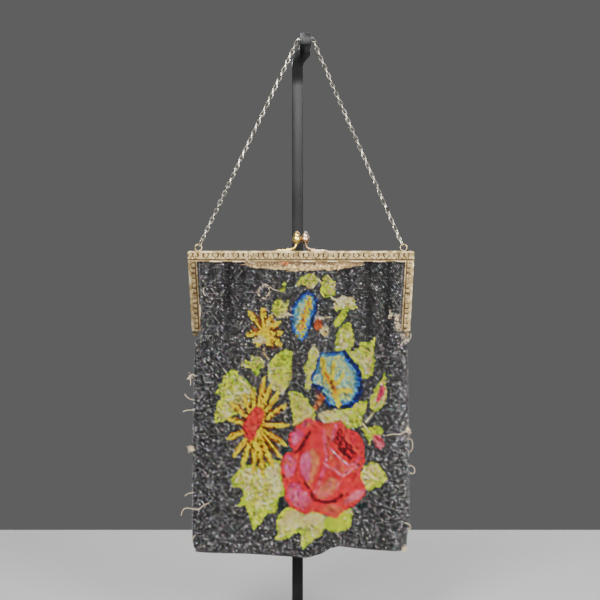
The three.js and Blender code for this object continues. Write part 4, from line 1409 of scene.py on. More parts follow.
@dataclass(frozen=True)
class BeadedBag:
    """The knitted bag: its thread net and the seed beads that cover it."""

    form: BagForm = BagForm()
    columns: int = 110
    rows: int = 120
    hem_share: float = 0.002
    beads_round: int = 184
    low_step: float = 1.08 * MM
    high_step: float = 1.38 * MM
    highest: float = 311 * MM
    bead: tuple[float, float, float] = (0.84 * MM, 0.58 * MM, 0.5 * MM)
    under_skin: float = 0.6 * MM
    tilt: float = math.radians(47)
    bands: int = 3
    samples: int = 300
    slit_gap: float = 1.0 * MM
    stray: float = 0.03 * MM
    lean_play: float = 0.09
    turn_play: float = 0.13
    size_play: float = 0.06
    ground_shade: float = 0.03
    motif_shade: float = 0.05

    def build(self, rng: np.random.Generator) -> list[bpy.types.Object]:
        """Builds the cloth and its beads.

        Args:
            rng: the source of the beads' differences.

        Returns:
            The cloth, and then the bead pieces.
        """
        cloth = self.cloth()
        beads = self.beads(rng)
        dress(cloth, KnitThread().material())
        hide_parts("beaded_bag")
        glass = BeadGlass().material()
        for piece in beads:
            dress(piece, glass)
        return [cloth, *beads]

    def shell(self) -> bmesh.types.BMesh:
        """The net as one skin that runs up the outside, over the mouth's rim and down the inside.

        Returns:
            The skin.
        """
        form = self.form
        rows = 2 * self.rows + 1
        made = bmesh.new()
        grid = bmesh.ops.create_grid(made, x_segments=2 * self.columns, y_segments=rows, size=1)
        place = np.array([vert.co for vert in grid["verts"]])
        column = np.rint((place[:, 0] + 1) * self.columns).astype(int) % (2 * self.columns)
        row = np.rint((place[:, 1] + 1) / 2 * rows).astype(int)
        outside = row <= self.rows
        step = np.where(outside, row, rows - row)
        low = np.where(outside, self.hem_share, (form.cloth + form.floor) / form.drop)
        inset = np.where(outside, self.under_skin, form.cloth)
        share = low + np.maximum(step - 1, 0) / (self.rows - 1) * (form.top_share - low)
        v = np.where(column < self.columns, column, 2 * self.columns - column) / self.columns * 2 - 1
        across = crowded(v)
        face = np.where(column < self.columns, -1, 1)
        points = form.points(inset, face, across, share)
        points[step == 0, 1] = 0
        for vert, point in zip(grid["verts"], points):
            vert.co = point
        bmesh.ops.remove_doubles(made, verts=made.verts, dist=0.02 * MM)
        bmesh.ops.recalc_face_normals(made, faces=made.faces)
        return made

    def cloth(self) -> bpy.types.Object:
        """The thread net as a thin shell with its side slits cut.

        Returns:
            The net.
        """
        cloth = kept(self.shell(), "beaded_cloth")
        tool = self.slit_tool()
        cut = cloth.modifiers.new("slits", "BOOLEAN")
        cut.operation = "DIFFERENCE"
        cut.solver = "EXACT"
        cut.object = tool
        bpy.context.view_layer.update()
        cloth = evaluated(cloth, "beaded_cloth")
        bpy.data.objects.remove(tool)
        self.colour_cloth(cloth)
        return cloth

    def slit_tool(self) -> bpy.types.Object:
        """The two boxes that cut the side slits out of the cloth.

        Returns:
            Both boxes in one object.
        """
        form = self.form
        inner, outer = form.slit_inner, FRAME_WIDTH / 2
        half_depth = form.mouth_depth - form.cloth
        low = form.arm_end - form.slit_drop
        high = FRAME_TOP + 10 * MM
        made = bmesh.new()
        for side, _ in SIDES:
            size = (outer - inner, 2 * half_depth, high - low)
            add_box(made, (side * (inner + outer) / 2, 0, (low + high) / 2), size)
        return kept(made, "slit_tool")

    def colour_cloth(self, cloth: bpy.types.Object) -> None:
        """Paints the net in the darkened colours of the beads over it, as shade in the gaps between the
        beads.

        Args:
            cloth: the net.
        """
        places = points_of(cloth.data)
        tints = np.zeros((len(places), 3))
        for side, _ in SIDES:
            on_side = (places[:, 1] >= 0) == (side > 0)
            chart = bouquet(places[on_side], side, np.random.default_rng(CLOTH_SEED))
            # Painted shade: the net under the beads is painted a small share of their colours.
            shade = np.where(chart.steel > 0, self.ground_shade, self.motif_shade)
            tints[on_side] = chart.tints() * shade[:, None]
        set_tints(cloth.data, tints)

    def row_shares(self) -> list[float]:
        """The heights of the bead rows as shares of the drop.

        Returns:
            One share for each row, from the hem up.
        """
        form = self.form
        shares = []
        share = 0.7 * self.low_step / form.drop
        last = (self.highest - form.bottom) / form.drop
        while share < last:
            shares.append(share)
            step = self.low_step + (self.high_step - self.low_step) * min(share / 0.9, 1)
            share += step / form.drop
        return shares

    def lay(self) -> tuple[np.ndarray, np.ndarray, np.ndarray]:
        """Lays the beads in rows round the bag, each row half a bead on from the last.

        Returns:
            The beads' places, the way each faces round Z, and its row.
        """
        places, facings, rows = [], [], []
        for row, share in enumerate(self.row_shares()):
            loop = self.form.loop(self.under_skin, share, self.samples)
            loop = np.vstack([loop, loop[:1]])
            runs = run_lengths(loop)
            at = (np.arange(self.beads_round) + 0.25 + 0.5 * (row % 2)) / self.beads_round * runs[-1]
            here = along(loop, runs, at)
            tangent = along(loop, runs, (at + MM) % runs[-1]) - here
            places.append(here)
            facings.append(np.arctan2(tangent[:, 1], tangent[:, 0]))
            rows.append(np.full(self.beads_round, row))
        return np.vstack(places), np.concatenate(facings), np.concatenate(rows)

    def in_slit(self, at: np.ndarray) -> np.ndarray:
        """Which places lie in a side slit."""
        high = at[:, 2] > self.form.arm_end - self.form.slit_drop
        return high & (np.abs(at[:, 0]) > self.form.slit_inner) & (np.abs(at[:, 1]) < self.slit_gap)

    def beads(self, rng: np.random.Generator) -> list[bpy.types.Object]:
        """Makes the beads, in one piece for each band of each face.

        Args:
            rng: the source of the beads' differences.

        Returns:
            The bead pieces.
        """
        at, facing, row = self.lay()
        keep = ~self.in_slit(at)
        at, facing, row = at[keep], facing[keep], row[keep]
        count = len(at)
        at = at + rng.normal(0, self.stray, at.shape)
        back = at[:, 1] > 0
        lean = self.tilt * np.where(back, -1, 1) + rng.normal(0, self.lean_play, count)
        facing = np.where(back, facing - math.pi, facing)
        nod = rng.normal(0, self.turn_play, count)
        turn = np.column_stack([nod, lean, facing + rng.normal(0, self.turn_play, count)])
        size = np.clip(1 + rng.normal(0, self.size_play, (count, 1)), 0.8, 1.2) * np.ones((1, 3))
        tint = np.zeros((count, 3))
        steel = np.zeros(count)
        for side, mask in ((-1, ~back), (1, back)):
            chart = bouquet(at[mask], side, rng)
            tint[mask] = chart.tints()
            steel[mask] = chart.steel
        whole = Places(at, turn, size, tint, steel)
        shape = self.bead_shape()
        edges = np.linspace(0, row.max() + 1, self.bands + 1)
        pieces = []
        for face, mask in (("front", ~back), ("back", back)):
            for band, word in enumerate(("lower", "middle", "upper")):
                chosen = mask & (row >= edges[band]) & (row < edges[band + 1])
                piece = scattered(shape, whole.part(chosen), f"beads_{face}_{word}")
                self.flat_map(piece)
                pieces.append(piece)
        bpy.data.objects.remove(shape)
        return pieces

    def bead_shape(self) -> bpy.types.Object:
        """One squat bead of few faces.

        Returns:
            The bead, centred at the origin.
        """
        made = bmesh.new()
        bmesh.ops.create_icosphere(made, subdivisions=1, radius=1)
        bmesh.ops.scale(made, vec=self.bead, verts=made.verts)
        return kept(made, "bead_shape", math.pi)

    @staticmethod
    def flat_map(piece: bpy.types.Object) -> None:
        """Gives a bead piece a map laid out as the beads lie, seen from the front.

        Args:
            piece: the bead piece.
        """
        mesh = piece.data
        flat = points_of(mesh)[:, [0, 2]]
        flat = ((flat - flat.min(0)) / np.ptp(flat, axis=0)).astype(np.float32)
        corner = np.zeros(len(mesh.loops), np.int32)
        mesh.loops.foreach_get("vertex_index", corner)
        layer = mesh.uv_layers.new(name=BAKE_MAP)
        layer.uv.foreach_set("vector", flat[corner].ravel())


@dataclass(frozen=True)
class Handle:
    """The chain and its end links."""

    eye_x: float = 86.5 * MM
    eye_z: float = 320.175 * MM
    eye_radius: float = 2.85 * MM
    eye_wire: float = 0.65 * MM
    end_length: float = 6.5 * MM
    end_radius: float = 1.65 * MM
    end_wire: float = 0.55 * MM
    end_turn: float = 0.45
    arm_side: float = 3.6 * MM
    bar: float = 9.5 * MM
    seat_z: float = 494 * MM
    envelope: float = 1.7 * MM
    pitch: float = 4.16 * MM
    link_radius: float = 1.325 * MM
    link_stretch: float = 1.25 * MM
    link_wire: float = 0.475 * MM
    bend_steps: int = 8
    play: float = 0.07
    twist: Points = ((0, 0.2), (0.3, -0.12), (0.7, 0.12), (1, -0.2))

    def build(self, rng: np.random.Generator) -> None:
        """Builds both end links and the chain.

        Args:
            rng: the source of the links' play.
        """
        nickel = PolishedMetal("nickel", (214, 208, 190), (78, 70, 58), 0.22, 4 * MM).material()
        for side, word in SIDES:
            piece = self.end_link(side, f"end_link_{word}_wire")
            dress(piece, nickel)
            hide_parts(f"end_link_{word}")
        chain = self.chain(rng)
        dress(chain, nickel)
        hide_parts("chain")

    def leg(self, side: int) -> tuple[Vector, Vector, Vector, float]:
        """Where one leg of the chain runs.

        Args:
            side: -1 for the left and 1 for the right.

        Returns:
            The eye's middle, the seat's edge, the leg's direction and its length, in X and Z.
        """
        start = Vector((side * self.eye_x, self.eye_z))
        edge = Vector((self.arm_side + side * self.bar / 2, self.seat_z))
        away = edge - start
        lean = math.asin((self.envelope + CLEARANCE) / away.length) * -side
        c, s = math.cos(lean), math.sin(lean)
        unit = away.normalized()
        direction = Vector((unit.x * c - unit.y * s, unit.x * s + unit.y * c))
        return start, edge, direction, away.length * math.cos(lean)

    def end_link(self, side: int, name: str) -> bpy.types.Object:
        """The larger link between an eye and the chain, on one side.

        Args:
            side: -1 for the left and 1 for the right.
            name: the object's name.

        Returns:
            The link.
        """
        start, _, direction, _ = self.leg(side)
        low = self.eye_radius - self.eye_wire - CLEARANCE - self.end_wire
        middle = start + direction * (low + self.end_length / 2)
        made = ring(self.end_radius, self.end_wire, self.end_length / 2 - self.end_radius, 24, 8)
        roll = Matrix.Rotation(math.pi / 2 - self.end_turn, 4, "Z")
        lean = Matrix.Rotation(math.atan2(direction.x, direction.y), 4, "Y")
        place = Matrix.Translation((middle.x, HALF_LAYER, middle.y)) @ lean @ roll
        bmesh.ops.transform(made, matrix=place, verts=made.verts)
        return kept(made, name, math.pi)

    def route(self) -> np.ndarray:
        """The chain's middle line from one end link to the other, in X and Z.

        Returns:
            One row of x and z for each point.
        """
        first = self.eye_radius - self.eye_wire - CLEARANCE + self.end_length - 2 * self.end_wire
        first += self.link_stretch + self.link_radius - self.link_wire - CLEARANCE
        radius = self.envelope + CLEARANCE
        points = []
        for side, _ in SIDES:
            start, edge, direction, length = self.leg(side)
            leg = [start + direction * first, start + direction * length]
            begin = math.atan2(-side * direction.x, side * direction.y)
            for angle in np.linspace(begin, math.pi / 2, self.bend_steps + 1)[1:]:
                leg.append(edge + radius * Vector((math.cos(angle), math.sin(angle))))
            points.extend(leg if side < 0 else reversed(leg))
        return np.array([tuple(point) for point in points])

    def chain(self, rng: np.random.Generator) -> bpy.types.Object:
        """The links, each turned a quarter from the last, with a little play.

        Args:
            rng: the source of the links' play.

        Returns:
            The chain.
        """
        line = self.route()
        runs = run_lengths(line)
        count = int(round(runs[-1] / self.pitch / 2)) * 2 + 1
        at = np.linspace(0, runs[-1], count)
        reach = self.pitch / 2
        steps = (0, reach, -reach)
        (x, z), ahead, behind = (along(line, runs, np.clip(at + step, 0, runs[-1])).T for step in steps)
        lean = np.arctan2(ahead[0] - behind[0], ahead[1] - behind[1])
        sway = np.interp(at / runs[-1], *zip(*self.twist)) - self.end_turn * 0.3
        roll = sway + (np.arange(count) % 2) * math.pi / 2 + rng.normal(0, self.play, count)
        turn = np.array([self.angles(a, b) for a, b in zip(lean, roll)])
        made = ring(self.link_radius, self.link_wire, self.link_stretch, 14, 6)
        shape = kept(made, "link_shape", math.pi)
        middles = np.column_stack([x, np.full(count, HALF_LAYER), z])
        chain = scattered(shape, Places(middles, turn, np.ones((count, 3))), "chain_links")
        bpy.data.objects.remove(shape)
        LOG.info("chain: %d links, %.2f mm apart", count, (at[1] - at[0]) / MM)
        return chain

    @staticmethod
    def angles(lean: float, roll: float) -> tuple[float, float, float]:
        """The three turns of a link that rolls about its own length and then leans."""
        both = Matrix.Rotation(lean, 3, "Y") @ Matrix.Rotation(roll, 3, "Z")
        return tuple(both.to_euler("XYZ"))


@dataclass(frozen=True)
class KissClasp:
    """The two halves of the kiss clasp: foot, stem, collar and acorn knob."""

    knob_radius: float = 3.85 * MM
    knob_height: float = 9.7 * MM
    spread: float = 7.1 * MM
    collar_radius: float = 2.5 * MM
    collar_height: float = 0.9 * MM
    stem_radius: float = 1.1 * MM
    stem_rise: float = 6.4 * MM
    stem_run: float = 8.4 * MM
    foot_length: float = 14.4 * MM
    foot_width: float = 3.4 * MM
    foot_thickness: float = 1.3 * MM
    collar: Points = ((0, -1), (0.9, -1), (1, -0.75), (1, -0.2), (0.7, -0.05))
    profile: Points = (
        (0.5, 0), (0.66, 0.015), (0.8, 0.05), (0.93, 0.12), (0.995, 0.2), (1, 0.26), (0.98, 0.34),
        (0.9, 0.45), (0.8, 0.53), (0.735, 0.555), (0.74, 0.575), (0.72, 0.64), (0.65, 0.72),
        (0.54, 0.82), (0.4, 0.9), (0.24, 0.95), (0.19, 0.965), (0.16, 0.99), (0.07, 1),
    )

    def build(self) -> None:
        """Builds both halves."""
        bright = PolishedMetal("bright_brass", (246, 214, 120), (150, 112, 52), 0.16, 4 * MM)
        rose = PolishedMetal("rose_brass", (206, 178, 150), (132, 98, 74), 0.2, 4 * MM)
        finishes = ((bright, Slot.BRIGHT_BRASS), (rose, Slot.ROSE_BRASS))
        for (side, word), (finish, slot) in zip(SIDES, finishes):
            piece = self.half(side > 0, f"clasp_{word}_acorn")
            dress(piece, finish.material())
            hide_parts(f"clasp_{word}")

    def half(self, turned: bool, name: str) -> bpy.types.Object:
        """One half of the clasp in one piece.

        Args:
            turned: whether it is turned half round, as the back half is.
            name: the object's name.

        Returns:
            The half.
        """
        x = -self.spread / 2
        reach = 2 * (self.knob_radius + CLEARANCE / 2)
        y = -math.sqrt(max(reach**2 - self.spread**2, 0)) / 2
        base = FRAME_TOP + self.stem_rise + self.collar_height
        made = bmesh.new()
        self.add_knob(made, Vector((x, y, base)))
        foot = self.foot(x - self.stem_run + self.foot_length * 0.22)
        made.from_mesh(foot)
        bpy.data.meshes.remove(foot)
        stem_z = FRAME_TOP + CLEARANCE + self.stem_radius
        points = [
            Vector((x - self.stem_run, -HALF_LAYER, stem_z)),
            Vector((x - self.stem_run * 0.55, -HALF_LAYER, stem_z + 0.3 * MM)),
            Vector((x - self.stem_run * 0.2, (y - HALF_LAYER) / 2, stem_z + self.stem_rise * 0.26)),
            Vector((x, y, base - self.collar_height / 2)),
        ]
        stem = strands([points], self.stem_radius, name + "_stem", sides=4, steps=6)
        made.from_mesh(stem.data)
        bpy.data.objects.remove(stem)
        if turned:
            bmesh.ops.rotate(made, matrix=Matrix.Rotation(math.pi, 3, "Z"), verts=made.verts)
        return kept(made, name, math.radians(50))

    def add_knob(self, made: bmesh.types.BMesh, base: Vector) -> None:
        """Spins the collar and the acorn.

        Args:
            made: the still empty bmesh to make them in.
            base: the middle of the knob's underside.
        """
        collar = [(r * self.collar_radius, h * self.collar_height) for r, h in self.collar]
        acorn = [(r * self.knob_radius, h * self.knob_height) for r, h in self.profile]
        verts = [made.verts.new((r, 0, h)) for r, h in [*collar, *acorn, (0.0, self.knob_height)]]
        edges = [made.edges.new(pair) for pair in zip(verts, verts[1:])]
        spin(made, verts + edges, (0, 0, 1), 32)
        bmesh.ops.remove_doubles(made, verts=made.verts, dist=0.005 * MM)
        bmesh.ops.recalc_face_normals(made, faces=made.faces)
        bmesh.ops.translate(made, verts=made.verts, vec=base)

    def foot(self, end: float) -> bpy.types.Mesh:
        """The flat foot that is riveted to the frame's top, from its thick end to its thinner tip.

        Args:
            end: where its thick end lies along X.

        Returns:
            The foot.
        """
        floor = FRAME_TOP + CLEARANCE
        middle = (end - self.foot_length / 2, -HALF_LAYER, floor + self.foot_thickness / 2)
        made = bmesh.new()
        add_box(made, middle, (self.foot_length, self.foot_width, self.foot_thickness))
        long_edges = [edge for edge in made.edges if abs(edge.verts[0].co.x - edge.verts[1].co.x) > MM]
        bmesh.ops.subdivide_edges(made, edges=long_edges, cuts=14, use_grid_fill=True)
        for vert in made.verts:
            part = (end - vert.co.x) / self.foot_length
            if vert.co.z > floor + self.foot_thickness / 2:
                wave = 0.88 + 0.12 * math.cos(part * 6 * math.pi)
                vert.co.z = floor + self.foot_thickness * wave * (1 - max(part - 0.7, 0) * 2.4)
            vert.co.y = -HALF_LAYER + (vert.co.y + HALF_LAYER) * (1 - max(part - 0.75, 0) * 1.6)
        bmesh.ops.recalc_face_normals(made, faces=made.faces)
        mesh = bpy.data.meshes.new("clasp_foot")
        made.to_mesh(mesh)
        made.free()
        return mesh


@dataclass(frozen=True)
class HeaderTape:
    """The tape that hangs under the frame's bar, with its frayed lower edge."""

    form: BagForm = BagForm()
    length: float = 99 * MM
    offset: float = 2.5 * MM
    columns: int = 150
    rows: int = 8
    fibres: int = 420
    worn_share: float = 0.88

    def build(self, rng: np.random.Generator) -> bpy.types.Object:
        """Builds the tape and its loose fibres in one piece.

        Args:
            rng: the source of the fraying.

        Returns:
            The piece.
        """
        made = bmesh.new()
        for part in (self.strip(rng), self.fuzz(rng)):
            made.from_mesh(part.data)
            bpy.data.objects.remove(part)
        piece = kept(made, "header_tape_cotton")
        dress(piece, CottonTape().material())
        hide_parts("header_tape")
        return piece

    @property
    def top(self) -> float:
        """The height of its upper edge."""
        return self.form.bar_bottom - CLEARANCE

    @property
    def middle(self) -> float:
        """The depth at the middle of its thickness."""
        return -self.form.mouth_depth - CLEARANCE - self.form.tape_thickness / 2

    @staticmethod
    def hang(v: float) -> float:
        """How low the tape hangs at a place along it, as a share of its height."""
        return 0.28 + 0.72 * (1 - abs(v) ** 2.4) - 0.05 * math.sin(9 * v)

    def strip(self, rng: np.random.Generator) -> bpy.types.Object:
        """The woven strip, with a ragged edge and shallow waves.

        Args:
            rng: the source of the fraying.

        Returns:
            The strip.
        """
        form = self.form
        ragged = np.convolve(rng.normal(0, 0.8 * MM, self.columns + 9), np.ones(4) / 4, "same")
        made = bmesh.new()
        grid = bmesh.ops.create_grid(made, x_segments=self.columns, y_segments=self.rows, size=1)
        for vert in grid["verts"]:
            v, u = vert.co.x, (1 - vert.co.y) / 2
            column = int(round((v + 1) / 2 * self.columns))
            fall = form.tape_height * self.hang(v) * self.worn_share + ragged[column + 4]
            wave = 0.16 * MM * math.sin(21 * v + 3 * u) * u
            vert.co = (self.offset + v * self.length / 2, self.middle + wave, self.top - fall * u)
        bmesh.ops.solidify(made, geom=made.faces, thickness=form.tape_thickness * 0.55)
        bmesh.ops.recalc_face_normals(made, faces=made.faces)
        return kept(made, "tape_strip")

    def fuzz(self, rng: np.random.Generator) -> bpy.types.Object:
        """Short loose fibres along the lower edge.

        Args:
            rng: the source of the fraying.

        Returns:
            The fibres.
        """
        front = self.middle
        lines = []
        for _ in range(self.fibres):
            v = rng.uniform(-0.98, 0.98)
            low = self.top - self.form.tape_height * self.hang(v) * rng.uniform(0.5, 1.0)
            x = self.offset + v * self.length / 2
            run = rng.normal(0, 1.4 * MM)
            fall = rng.uniform(-0.3, 1.1) * MM
            out = rng.uniform(0.15, 0.7) * MM
            bend = Vector((x + run * 0.5, front - out, low - fall * 0.3))
            lines.append([Vector((x, front, low)), bend, Vector((x + run, front - out * 0.6, low - fall))])
        return strands(lines, 0.18 * MM, "tape_fuzz", sides=1, steps=2)


@dataclass(frozen=True)
class LooseThreads:
    """Stitches along the frame, and the frayed ends of the bag's sewing thread."""

    form: BagForm = BagForm()
    left_edge: float = 192
    right_edge: float = 410
    edge_depth: float = -1.6 * MM
    ring_middle: Point = (264.2, 291.8)
    ring_reach: Point = (5.4, 6.6)
    ring_fibres: int = 64
    stitch_row: float = 261.7
    stitches: Points = (
        (210, 222), (233, 245), (302, 315), (327, 337.5), (350.5, 363), (373, 385), (397, 405),
    )

    @staticmethod
    def at(column: float, row: float, y: float) -> Vector:
        """A point over a square of the chart."""
        return Vector(((column - MIDDLE_COLUMN) * SQUARE, y, MIDDLE_HEIGHT + (MIDDLE_ROW - row) * SQUARE))

    def build(self, rng: np.random.Generator) -> list[bpy.types.Object]:
        """Builds the stitches, the long threads and the tufts.

        Args:
            rng: the source of the fraying.

        Returns:
            The three pieces.
        """
        thread = CottonThread().material()
        stitching = strands(self.stitch_lines(), 0.42 * MM, "frame_stitches", sides=2, steps=3)
        frayed = strands(self.frayed_lines(rng), 0.24 * MM, "frayed_threads", sides=2, steps=4)
        tufts = strands(self.tuft_lines(rng), 0.16 * MM, "thread_tufts", sides=1, steps=3)
        for piece in (stitching, frayed, tufts):
            dress(piece, thread)
        return [stitching, frayed, tufts]

    def stitch_lines(self) -> list[list[Vector]]:
        """The dashes of running stitch on the frame's inner line.

        Returns:
            The points of each dash.
        """
        lines = []
        for left, right in self.stitches:
            arch = (
                (left, 0.3, -5.6), (left + 0.8, 0, -6.25), ((left + right) / 2, 0.25, -6.35),
                (right - 0.8, 0, -6.25), (right, 0.3, -5.6),
            )
            lines.append([self.at(a, self.stitch_row + b, y * MM) for a, b, y in arch])
        on_arm = ((200.4, 305, -6.3), (200.8, 310, -6.4), (200.6, 316, -6.2))
        return [*lines, [self.at(a, b, y * MM) for a, b, y in on_arm]]

    def frayed_lines(self, rng: np.random.Generator) -> list[list[Vector]]:
        """The long threads that have come loose at the bag's edges.

        Args:
            rng: the source of the fraying.

        Returns:
            The points of each thread.
        """
        charted = (
            ((197.5, 377.5), (195.9, 376.7), (192.8, 374.1), (190, 376.4), (187, 379.2)),
            ((189.6, 376), (190.8, 380), (190.5, 385)),
            ((194, 399.8), (190.5, 399), (187, 396.6), (185, 394)),
            ((195, 409.4), (192.1, 409.9), (187.6, 410), (183.2, 411.5)),
            ((194, 446), (190, 447.6), (187, 446)),
            ((194.6, 450), (190.4, 451.4), (188.4, 452.4)),
            ((195, 491.6), (191.8, 492.5), (188, 493.4), (185.1, 495.7)),
            (
                (210, 501.8), (204.2, 504), (199, 508.2), (192.8, 507.8), (185.7, 507.2), (183, 510),
                (181.9, 514.2),
            ),
            ((196.9, 533.3), (194, 536.5), (192, 540), (191.5, 543)),
            ((407, 440), (410, 438.6), (412.4, 443), (411.4, 450), (408, 453)),
            ((408, 466), (411, 465.4), (414.5, 469), (412.6, 473.5), (409.4, 472)),
            ((404, 522), (408.6, 523.4), (410.2, 527), (406.8, 529)),
            ((386, 434.8), (392, 433.2), (398, 433.6), (404, 431), (410, 429)),
            ((269.8, 286.8), (274, 289.6), (279.4, 291)),
            ((240, 256), (245.6, 258.6), (251, 262.8), (255, 264)),
            ((286.6, 315), (289.4, 314.6), (292.4, 315.6)),
            ((400, 345), (404, 340.6), (409.4, 338.6), (410.4, 333.4)),
            ((204.6, 287.6), (204, 291), (205, 295)),
        )
        over_metal = {14: -6.6 * MM, 17: -6.2 * MM}
        lines = []
        for number, line in enumerate(charted):
            start = line[0][0]
            at_edge = min(abs(start - self.left_edge), abs(start - self.right_edge)) < 6
            y = over_metal.get(number, self.edge_depth if at_edge else self.front(line[0]))
            lines.append([self.at(a, b, y + rng.normal(0, 0.25 * MM)) for a, b in line])
        return lines

    def front(self, place: Point) -> float:
        """The depth just in front of the beads at a square of the chart.

        Args:
            place: the square's column and row.

        Returns:
            The depth, in metres.
        """
        form = self.form
        point = self.at(*place, 0)
        share = np.array([(point.z - form.bottom) / form.drop])
        half, _, _ = form.section(np.array([point.x]), share)
        across = np.clip(np.array([point.x]) / half, -1, 1)
        return float(form.points(0, np.array([-1]), across, share)[0, 1]) - 0.4 * MM

    def worn_ring(self, rng: np.random.Generator) -> list[list[Vector]]:
        """Short fibres round the place where the beads have worn off in a ring.

        Args:
            rng: the source of the fraying.

        Returns:
            The two ends of each fibre.
        """
        lines = []
        for _ in range(self.ring_fibres):
            angle = rng.uniform(0, 2 * math.pi)
            a = self.ring_middle[0] + (self.ring_reach[0] + rng.normal(0, 0.6)) * math.cos(angle)
            b = self.ring_middle[1] + (self.ring_reach[1] + rng.normal(0, 0.7)) * math.sin(angle)
            turn = angle + math.pi / 2 + rng.normal(0, 0.8)
            y = self.front((a, b))
            reach = rng.uniform(0.8, 1.7)
            bend = (a + reach * math.cos(turn), b + reach * math.sin(turn))
            lines.append([self.at(a, b, y + 0.2 * MM), self.at(*bend, y - 0.1 * MM)])
        return lines

    def tuft_lines(self, rng: np.random.Generator) -> list[list[Vector]]:
        """The ring, and clumps of fine fibres where the cloth is torn.

        Args:
            rng: the source of the fraying.

        Returns:
            The points of each fibre.
        """
        clumps = (
            ((396.5, 318), (3.2, 4), 34), ((397.5, 326), (3.4, 4), 34), ((404, 339), (4.6, 4.6), 26),
            ((407.4, 429.6), (3.6, 4), 44), ((191, 448.5), (3, 3), 26), ((404, 548.5), (3, 3), 22),
            ((287.6, 315), (2, 2), 10), ((321, 317.8), (5.4, 0.8), 12), ((190.6, 377), (2, 3), 14),
            ((390, 315), (2.4, 4), 18),
        )
        lines = self.worn_ring(rng)
        for (column, row), (wide, high), count in clumps:
            y = -2.0 * MM if column < 196 or column > 402 else self.front((column, row))
            for _ in range(count):
                a = column + rng.normal(0, wide * 0.45)
                b = row + rng.normal(0, high * 0.45)
                turn = rng.uniform(0, 2 * math.pi)
                bend = turn + rng.normal(0, 0.9)
                reach = rng.uniform(1.0, 2.6)
                half = reach * 0.5
                middle = self.at(a + half * math.cos(turn), b + half * math.sin(turn), y - 0.5 * MM)
                end = self.at(a + reach * math.cos(bend), b + reach * math.sin(bend), y - 0.2 * MM)
                lines.append([self.at(a, b, y), middle, end])
        return lines


@dataclass(frozen=True)
class BrassFrame:
    """The two hinged halves of the frame, dressed as they are."""

    nodes: tuple[str, ...] = ("frame_front", "frame_back", "hinge_pin_left", "hinge_pin_right")

    def build(self) -> None:
        """Gives the frame's nodes their finish."""
        brass = AntiqueBrass().material()
        for node in self.nodes:
            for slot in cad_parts[node].material_slots:
                slot.material = brass


@dataclass(frozen=True)
class DisplayStand:
    """The bent square bar and its base plate, with softened edges."""

    softening: float = 0.5 * MM

    def build(self) -> None:
        """Builds both pieces."""
        black = BlackSteel().material()
        for node, name in (("stand_post", "stand_bar"), ("stand_base", "stand_plate")):
            made = bmesh.new()
            made.from_mesh(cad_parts[node].data)
            bmesh.ops.remove_doubles(made, verts=made.verts, dist=0.001 * MM)
            flat = math.radians(0.5)
            bmesh.ops.dissolve_limit(made, angle_limit=flat, verts=made.verts, edges=made.edges)
            sharp = [edge for edge in made.edges if edge.calc_face_angle(0) > SHARP_ANGLE]
            shape = {"offset": self.softening, "segments": 2, "profile": 0.5}
            bmesh.ops.bevel(made, geom=sharp, affect="EDGES", material=-1, **shape)
            piece = kept(made, name)
            dress(piece, black)
            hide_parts(node)


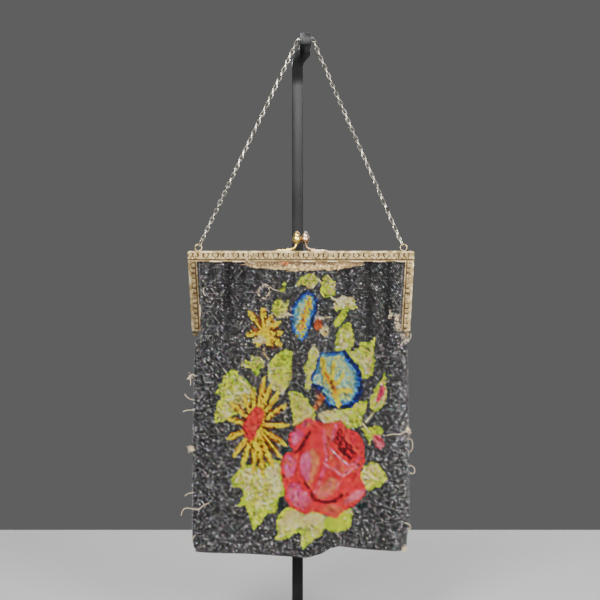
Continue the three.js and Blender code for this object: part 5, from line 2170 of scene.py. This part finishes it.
@dataclass(frozen=True)
class Studio:
    """The floor, the lights and the camera."""

    view_distance: float = 1.0
    view_side: float = -0.84 * MM
    half_view: float = 0.2523
    floor_reach: float = 427 * MM
    floor_width: float = 1.5
    floor_depth: float = 10 * MM
    aim: tuple[float, float, float] = (0, 0, 0.25)
    backdrop: tuple[float, float, float] = (0.118, 0.118, 0.12)
    ambient: tuple[float, float, float] = (0.3, 0.3, 0.31)

    def build(self) -> None:
        """Sets up the studio."""
        self.floor()
        self.world()
        self.light("key", (-0.6, -1.3, 1.2), (0.6, 0.6), 36)
        self.light("fill", (0.95, -1.15, 0.9), (0.6, 0.6), 26)
        self.light("front", (0.1, -2.0, 0.8), (1.2, 0.6), 32)
        self.light("top", (0.0, -0.1, 1.6), (1.2, 0.8), 10)
        self.light("back", (0.2, 1.4, 1.0), (1.2, 0.8), 18)
        self.camera()

    def floor(self) -> None:
        """The plain pale floor."""
        made = bmesh.new()
        size = (self.floor_width, 2 * self.floor_reach, self.floor_depth)
        add_box(made, (0, 0, -self.floor_depth / 2), size)
        floor = kept(made, "floor")
        floor.data.materials.append(PalePaper().material())

    def world(self) -> None:
        """A grey surround, brighter for the light it gives than as it is seen."""
        world = bpy.data.worlds.new("studio")
        world.use_nodes = True
        bpy.context.scene.world = world
        tree = world.node_tree
        tree.nodes.clear()
        output = tree.nodes.new("ShaderNodeOutputWorld")
        mix = tree.nodes.new("ShaderNodeMixShader")
        path = tree.nodes.new("ShaderNodeLightPath")
        seen = tree.nodes.new("ShaderNodeBackground")
        given = tree.nodes.new("ShaderNodeBackground")
        seen.inputs["Color"].default_value = (*self.backdrop, 1)
        given.inputs["Color"].default_value = (*self.ambient, 1)
        tree.links.new(path.outputs["Is Camera Ray"], mix.inputs[0])
        tree.links.new(given.outputs[0], mix.inputs[1])
        tree.links.new(seen.outputs[0], mix.inputs[2])
        tree.links.new(mix.outputs[0], output.inputs["Surface"])

    def light(self, name: str, place: tuple[float, ...], size: tuple[float, float], watts: float) -> None:
        """A soft rectangular light turned to the purse.

        Args:
            name: the light's name.
            place: where it stands.
            size: its width and height.
            watts: its power.
        """
        data = bpy.data.lights.new(name, "AREA")
        data.shape = "RECTANGLE"
        data.size, data.size_y = size
        data.energy = watts
        lamp = placed(name, data)
        lamp.location = place
        lamp.rotation_euler = (Vector(self.aim) - Vector(place)).to_track_quat("-Z", "Y").to_euler()

    def camera(self) -> None:
        """The camera, level and straight in front."""
        data = bpy.data.cameras.new("camera")
        data.sensor_width = 36
        data.lens = data.sensor_width / 2 / self.half_view
        data.clip_start = 0.01
        camera = placed("camera", data)
        camera.location = (self.view_side, -self.view_distance, MIDDLE_HEIGHT)
        camera.rotation_euler = (math.pi / 2, 0, 0)
        bpy.context.scene.camera = camera


def corners(bounds: Iterable[Vector]) -> list[list[float]]:
    """The lowest and highest corner as plain lists."""
    return [list(corner) for corner in bounds]


def main() -> None:
    """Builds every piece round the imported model."""
    logging.basicConfig(level=logging.INFO, format="%(name)s %(message)s")
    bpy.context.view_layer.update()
    rng = np.random.default_rng(SEED)
    Studio().build()
    BrassFrame().build()
    pieces = BeadedBag().build(rng)
    tape = HeaderTape().build(rng)
    threads = LooseThreads().build(rng)
    Handle().build(rng)
    KissClasp().build()
    DisplayStand().build()


if __name__ == "__main__":
    main()
